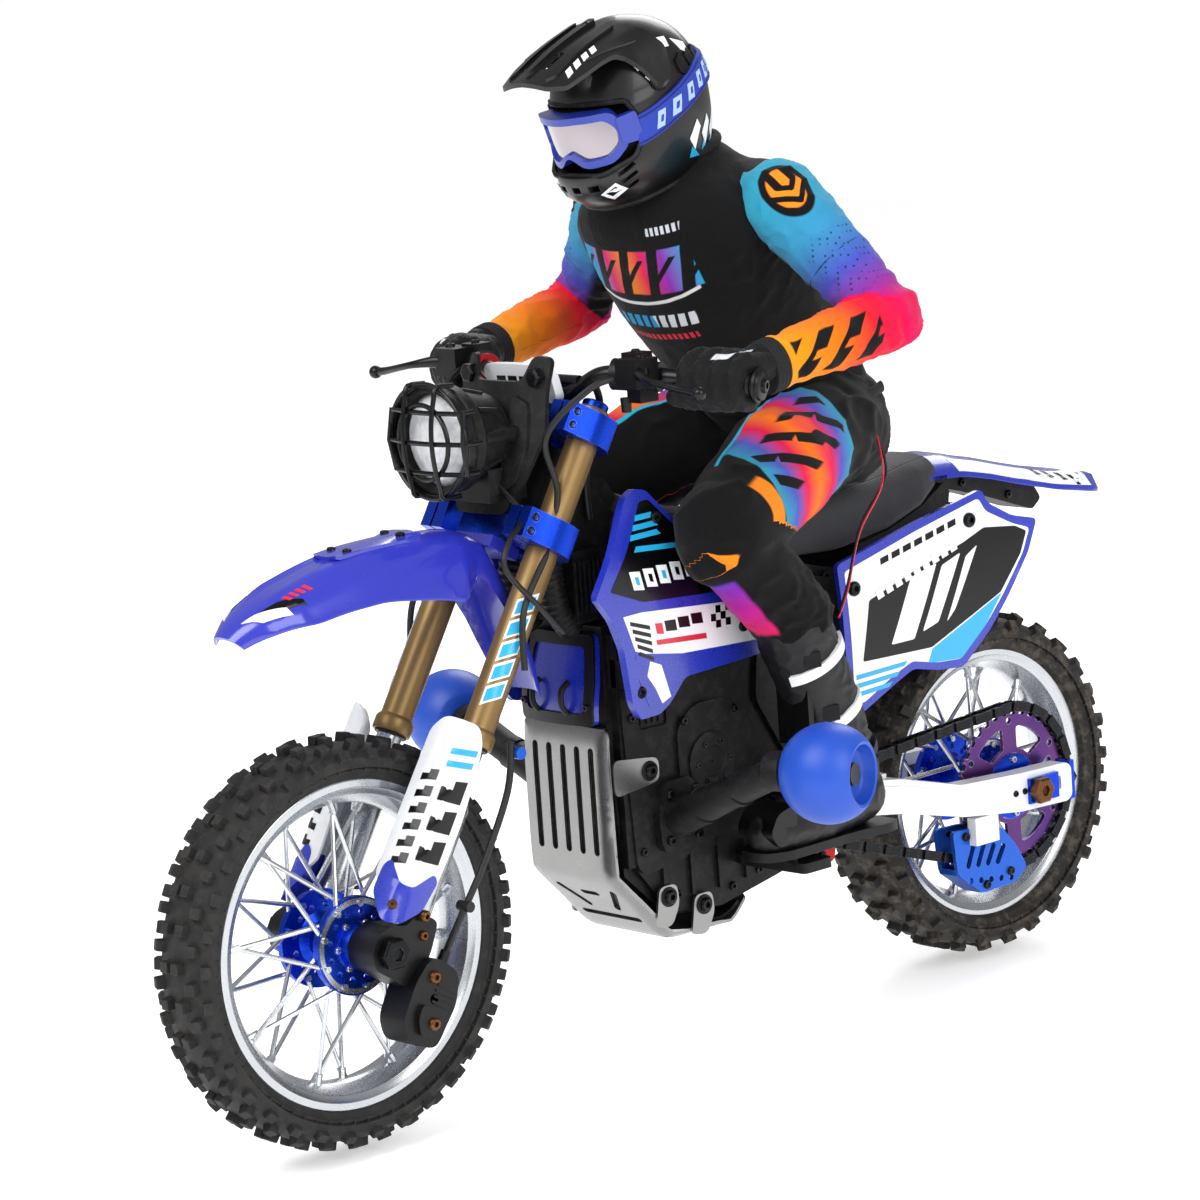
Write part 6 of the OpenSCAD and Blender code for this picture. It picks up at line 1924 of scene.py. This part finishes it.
def shell_at(az, z, lift=0.0):
    """A point of the helmet's outside, in its own frame; az in degrees from straight ahead."""
    rows, wide = SHELL_FINE
    z = max(rows[0].x, min(rows[-1].x, z))
    i = max(k for k in range(len(rows) - 1) if rows[k].x <= z + 1e-9)
    t = (z - rows[i].x) / (rows[i + 1].x - rows[i].x)
    f, b, w = lerp(rows[i].y, rows[i + 1].y, t), lerp(rows[i].z, rows[i + 1].z,
                                                      t), lerp(wide[i].y, wide[i + 1].y, t)
    a = radians(az)
    n = 2.25 if z < 14 else 2.05
    ca, sa = cos(a), sin(a)
    x = (f + b) / 2 + (f - b) / 2 * copysign(abs(ca) ** (2 / n), ca)
    y = w * copysign(abs(sa) ** (2 / n), sa)
    jaw = 1.4 * bell(z, -14, 7) * bell(abs(az), 52, 20)
    out = V(ca, sa, 0.5 * smooth((z - 8) / 30) * 1.6)
    return V(x, y, z) + out.normalized() * (lift + jaw)


def on_shell(u, v, w):
    return HEAD @ shell_at(u, v, w)


def solid(rows, scale=1.0, drop=0.0):
    rings_ = []
    for k in range(len(SHELL_FINE[0])):
        z = SHELL_FINE[0][k].x
        rings_.append([HEAD @ (shell_at(j * 360 / rows, z) * scale + V(0, 0, drop)) for j in range(rows)])
    return skin(rings_)


def carve(name, shape, cutters, mats, body, nodes, bevel):
    """A piece cut by other closed shapes."""
    obj = make("tmp_" + name, shape, mats, None)
    made = []
    for c in cutters:
        k = make("tmp_cut", c, [mats[-1]], None)
        made.append(k)
        m = obj.modifiers.new("cut", "BOOLEAN")
        m.operation, m.solver, m.object = "DIFFERENCE", "EXACT", k
    m = obj.modifiers.new("b", "BEVEL")
    m.width, m.segments, m.limit_method, m.angle_limit = bevel * MM, 2, "ANGLE", radians(40)
    mesh = bpy.data.meshes.new_from_object(obj.evaluated_get(bpy.context.evaluated_depsgraph_get()))
    for o in made + [obj]:
        bpy.data.objects.remove(o)
    mesh.set_sharp_from_angle(angle=radians(38))
    piece = bpy.data.objects.new(name, mesh)
    bpy.context.scene.collection.objects.link(piece)
    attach(piece, body)
    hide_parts(*nodes)
    return piece


outer = Shape()
outer.add(solid(96), 0)
inner = Shape()
inner.add(solid(48, 0.9, -3.5), 0)
port = Shape()
prof = round_off([(-58, -8), (-30, -11.5), (30, -11.5), (58, -8), (62, 4), (52, 15), (20, 17.5), (-20, 17.5),
                  (-52, 15), (-62, 4)], 5)
port.add(panel(prof, -9, 14, lambda u, v, w: HEAD @ (shell_at(u, v) + V(cos(radians(u)),
        sin(radians(u)), 0) * w), step=4), 0)
vents = Shape()
for y in (-11, 0, 11):
    vents.add(block((12, 5.5, 3.0)), 0, HEAD @ Matrix.Translation((44, y, -17)))
for side in (-1, 1):
    for k in range(3):
        vents.add(block((9, 8, 1.8)), 0, HEAD @ Matrix.Translation((33, side * 27, -20 + k
                * 4)) @ Matrix.Rotation(radians(20), 4, "Y"))
HELMET = plain("helmet_shell", "#060608", rough=0.36, mottle=0.12, grain=0.015, coat=0.18)
carve("helmet_shell_cut", outer, [inner, port, vents], [HELMET, NYLON], "head", ["helmet"], 0.6)

trim = Shape()
for side in (-1, 1):
    trim.add(lathe([(0.4, 0), (4.6, 0), (4.6, 1.8), (3.8, 2.6), (1.8, 2.6), (1.6, 1.4), (0.4, 1.4)], 32, "y"), 0,
             HEAD @ Matrix.Translation((4, side * 33.2, 17)) @ Matrix.Rotation(radians(0
                     if side > 0 else 180), 4, "Z"))
    for k in range(3):
        trim.add(panel(round_off([(side * (100 + k * 13), 20 - k * 1), (side * (110 + k * 13), 22 - k * 1),
                                  (side * (108 + k * 13), 12), (side * (101 + k * 13), 13)], 1.5), -0.4,
                                  1.2, on_shell, step=4), 0)
rim_line = [HEAD @ shell_at(a, -29.3, -0.6) for a in range(0, 361, 6)]
trim.add(tube(rim_line, 1.5, 10), 0)
port_line = [HEAD @ shell_at(u, v) for u, v in prof]
trim.add(tube(port_line + [port_line[0], port_line[1]], 1.2, 8), 0)
# face liner behind the goggles, so that the opening is not empty
trim.add(ball((-5, 0, 400), 27, 32, 20, (1.0, 0.95, 1.0)), 0)
make("helmet_trim", trim, [NYLON], "head", ["rider_head"])


def peak_place(u, v, w):
    """The peak: u ahead, v across."""
    drop = 0.012 * v * v * (1 + 0.5 * smooth((u - 30) / 24)) + 0.13 * max(0.0,
            abs(v) - 20) ** 2 * (1 - smooth((u - 12) / 14))
    out = 0.6 * w * smooth((abs(v) - 18) / 10)
    return V(u + 0.2 * w, v + copysign(out, v), 445.6 - (u - 4) * 0.41 - 0.0038 * max(0.0, u - 20) ** 2 - drop + w)


peak = Shape()
line = [(10, 5), (9, 14), (4, 22), (-3, 28), (-2, 31.5), (5, 31.6), (13, 27.6), (24, 24.6), (36, 23),
        (46, 20), (51.5, 13), (53, 5)]
peak.add(panel(round_off(line + [(x, -y) for x, y in line[::-1]], 2), 0, 1.9, peak_place,
               [round_off([(34, 3), (45, 3.2), (44, 7), (34, 7.4)], 1.2), round_off([(34, -7.4), (44, -7),
                       (45, -3.2), (34, -3)], 1.2)], step=3), 0)
for side in (-1, 1):
    peak.add(panel(round_off([(11, side * 9.4), (46, side * 9), (50, side * 11.6), (46, side * 14),
                              (11, side * 13.6)], 1.5), 1.7, 3.2, peak_place, step=4), 0)
    peak.add(panel(round_off([(8, side * 20.5), (22, side * 20), (34, side * 19), (22, side * 22.5),
                              (9, side * 24)], 1.2), 1.7, 2.6, peak_place, step=4), 0)
peak.add(panel(round_off([(11, -2.2), (48, -1.6), (51, 0), (48, 1.6), (11, 2.2)], 1.2), 1.7,
               3.6, peak_place, step=4), 0)
peak.add(screw(peak_place(15, 0, 2.6), (0.4, 0, 1), 2.2, 1.2), 1)
make("helmet_peak", peak, [HELMET, SCREW], "head", bevel=0.35)

marks = Shape()
for side in (-1, 1):
    def bit(points, mat, low=0.25, high=0.5):
        marks.add(panel([(side * a, b) for a, b in points], low, high, on_shell, step=3), mat)

    bit([(62, 27), (84, 33), (108, 30), (104, 26), (86, 28.6), (66, 23.6)], 0)
    bit([(70, 20.5), (92, 24), (94, 21), (74, 17.6)], 0)
    bit([(112, 28), (126, 23), (122, 18), (114, 22)], 0)
    for k in range(3):
        bit([(98 + k * 14, -14 - k * 1.5), (106 + k * 14, -8 - k * 1.5), (110 + k * 14, -12 - k * 1.5),
             (103 + k * 14, -20 - k * 1.5)], 0)
        bit([(100 + k * 14, -18 - k * 1.2), (97 + k * 14, -22 - k), (108 + k * 14, -24 - k)], 1)
    bit([(22, -20), (38, -16), (46, -20.5), (30, -24)], 0)
    bit([(27, -20), (37, -17.6), (41, -20), (31, -22)], 2)
    for k in range(4):
        marks.add(panel([(25 + k * 4.6, side * 15.4), (28 + k * 4.6, side * 15.4), (29.4 + k * 4.6, side * 18.6),
                         (26.4 + k * 4.6, side * 18.6)], 1.95, 2.15, peak_place, step=3), 0)
make("helmet_marks", marks, [FILM_WHITE, CYAN, FILM_BLACK], "head", sharp=60)


def face_place(u, v, w):
    """Goggle surface: u degrees round the face, v up, w out."""
    a = radians(u)
    nose = 3.0 * exp(-(u / 11) ** 2) * smooth((-v) / 9)
    return HEAD @ V(6 + (33.5 + w) * cos(a), (31 + w) * sin(a), v + 2.5 + nose)


gog = Shape()
frame_line = round_off([(-54, -5), (-40, -10.5), (-14, -11), (0, -8), (14, -11), (40, -10.5), (54, -5), (57, 3),
                        (48, 11.5), (20, 13), (-20, 13), (-48, 11.5), (-57, 3)], 5)
lens_line = round_off([(-47, -3.5), (-36, -7.4), (-14, -7.8), (0, -5), (14, -7.8), (36, -7.4), (47, -3.5), (49, 3),
                       (42, 8.6), (18, 9.8), (-18, 9.8), (-42, 8.6), (-49, 3)], 4)
gog.add(panel(frame_line, -4, 3.4, face_place, [lens_line], step=4), 0)
gog.add(panel(frame_line, -7, -4, face_place, [round_off([(x * 0.8, y * 0.7) for x, y in lens_line], 3)], step=4),
        1)
gog.add(panel(lens_line, -0.8, 1.2, face_place, step=4), 2)
for side in (-1, 1):
    gog.add(panel(round_off([(side * 50, -4), (side * 66, -5), (side * 66, 8), (side * 50, 8)], 2), 0.5,
                  4.2, face_place, step=4), 0)
LENS_MIRROR = Graph("goggle_mirror")
# the mirror lens is coloured darker towards its top and its left side, lighter low and to the right
lens_darker_top_left = LENS_MIRROR.mix(LENS_MIRROR.step(LENS_MIRROR.line(0, 0.05, 0.09, -36.5), 0.5, 1.2), "#a39ba0", "#7c7a80")
LENS_MIRROR = LENS_MIRROR.finish(lens_darker_top_left, rough=0.07, metal=0.9, mottle=0.03, grain=0.0, coat=1.0, vary=0.02)
GOGGLE = plain("goggle_frame", "#2238a4", rough=0.35, coat=0.3, mottle=0.05)
make("goggle_frame_and_lens", gog, [GOGGLE, NYLON, LENS_MIRROR], "head", ["goggles"], bevel=0.4)

band = Shape()
line_up = [(a, 1.5 + 7.5 * smooth((a - 60) / 70) + 6.2) for a in range(58, 181, 6)]
line_low = [(a, 1.5 + 7.5 * smooth((a - 60) / 70) - 6.2) for a in range(58, 181, 6)]
for side in (-1, 1):
    poly = [(side * a, z) for a, z in line_up] + [(side * a, z) for a, z in line_low[::-1]]
    band.add(panel(poly, 0.1, 1.9, on_shell, step=4), 0)
    for k in range(8):
        a = 72 + k * 12.5
        z = 1.5 + 7.5 * smooth((a - 60) / 70)
        band.add(panel([(side * a, z - 3.4), (side * (a + 6), z - 3.4), (side * (a + 8), z + 3.4), (side * (a + 2),
                z + 3.4)], 1.9, 2.1, on_shell, step=3), 1)
        band.add(panel([(side * (a + 3), z - 1.3), (side * (a + 5), z - 1.3), (side * (a + 6), z + 1.3),
                        (side * (a + 4), z + 1.3)], 2.1, 2.2, on_shell), 0)
    for dz in (-5.2, 5.0):
        poly = [(side * a, (p + q) / 2 + dz - 0.4) for (a, p), (_, q) in zip(line_up, line_low)]
        poly += [(a, z + 0.8) for a, z in poly[::-1]]
        band.add(panel(poly, 1.9, 2.05, on_shell, step=4), 2)
make("goggle_strap", band, [plain("strap_blue", "#1f3aa8", rough=0.75, grain=0.15, mottle=0.08), plain("strap_pale",
        "#a9c4e8", rough=0.7), plain("strap_dark", "#0c1a70", rough=0.8)], "head")


# ------------------------------------------------------------------ kept CAD pieces and the stage

KEEP = {"chassis_left": NYLON, "chassis_right": NYLON, "steering_head": NYLON,
        "electronics": BLACK, "drive_motor": CHROME,
        "drive_chain": SCREW, "shock_body": CHROME, "shock_rod": CHROME, "shock_spring": GOLD,
        "motor_pinion": GOLD, "drive_gear": CHROME}
for name, mat in KEEP.items():
    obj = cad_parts[name]
    obj.data.materials.clear()
    obj.data.materials.append(mat)

FLOOR_SIZE, FLOOR_DROP = 6.0, 0.0004
bpy.ops.mesh.primitive_plane_add(size=FLOOR_SIZE, location=(0, 0, -FLOOR_DROP))
floor = bpy.context.object
floor.name = "studio_floor"
g = Graph("studio_floor_paper")
floor.data.materials.append(g.finish("#f6f6f6", rough=0.7, mottle=0.0, grain=0.0, vary=0.05, shine=0.2))
g.skin.inputs["Emission Color"].default_value = (1, 1, 1, 1)
g.skin.inputs["Emission Strength"].default_value = 0.42

# the walls look white to the camera, light the object a little less and are dim in reflections
WALL_LIGHT, CAMERA_EXTRA, REFLECTION_EXTRA = 0.62, 0.38, -0.26
world = bpy.data.worlds.new("studio_world")
bpy.context.scene.world = world
world.use_nodes = True
sky = world.node_tree.nodes["Background"]
sky.inputs["Color"].default_value = (1, 1, 1, 1)
seen = world.node_tree.nodes.new("ShaderNodeLightPath")


def wall_step(ray, change):
    """A multiply-add node: the ray kind's flag times the change, plus what is put in its third input."""
    node = world.node_tree.nodes.new("ShaderNodeMath")
    node.operation = "MULTIPLY_ADD"
    world.node_tree.links.new(seen.outputs[ray], node.inputs[0])
    node.inputs[1].default_value = change
    return node


to_camera = wall_step("Is Camera Ray", CAMERA_EXTRA)
to_camera.inputs[2].default_value = WALL_LIGHT
in_mirror = wall_step("Is Glossy Ray", REFLECTION_EXTRA)
world.node_tree.links.new(to_camera.outputs[0], in_mirror.inputs[2])
world.node_tree.links.new(in_mirror.outputs[0], sky.inputs["Strength"])
bpy.context.scene.view_settings.view_transform = "Standard"


def area(name, place, aim, size, power):
    light = bpy.data.lights.new(name, "AREA")
    light.energy, light.size = power, size
    obj = bpy.data.objects.new(name, light)
    obj.location = place
    obj.rotation_euler = (Vector(aim) - Vector(place)).to_track_quat("-Z", "Y").to_euler()
    bpy.context.scene.collection.objects.link(obj)


# name, place and aim in metres, side of the square in metres, power in watts
area("key_softbox", (1.3, 0.1, 1.5), (0, 0, 0.2), 1.1, 22)
area("left_softbox", (0.1, 1.7, 1.1), (0, 0, 0.2), 1.2, 17)
area("rim_softbox", (-1.3, -0.9, 1.3), (0, 0, 0.25), 1.0, 14)

# the camera stands ahead and to the left of the machine, a little above it
FOCAL_LENGTH, SENSOR_WIDTH = 135.4, 36
CAMERA_PLACE = (1.27903, 1.41238, 0.52993)
YAW, PITCH, ROLL = radians(-131.476), radians(-9.854), radians(-4.148)
camera = bpy.data.cameras.new("view_camera")
camera.lens, camera.sensor_width = FOCAL_LENGTH, SENSOR_WIDTH
eye = bpy.data.objects.new("view_camera", camera)
bpy.context.scene.collection.objects.link(eye)
ahead = V(cos(PITCH) * cos(YAW), cos(PITCH) * sin(YAW), sin(PITCH))
level = ahead.cross(V(0, 0, 1)).normalized()
over = level.cross(ahead)
right = level * cos(ROLL) + over * sin(ROLL)
above = over * cos(ROLL) - level * sin(ROLL)
eye.matrix_world = Matrix.Translation(CAMERA_PLACE) @ Matrix((right, above, -ahead)).transposed().to_4x4()
bpy.context.scene.camera = eye
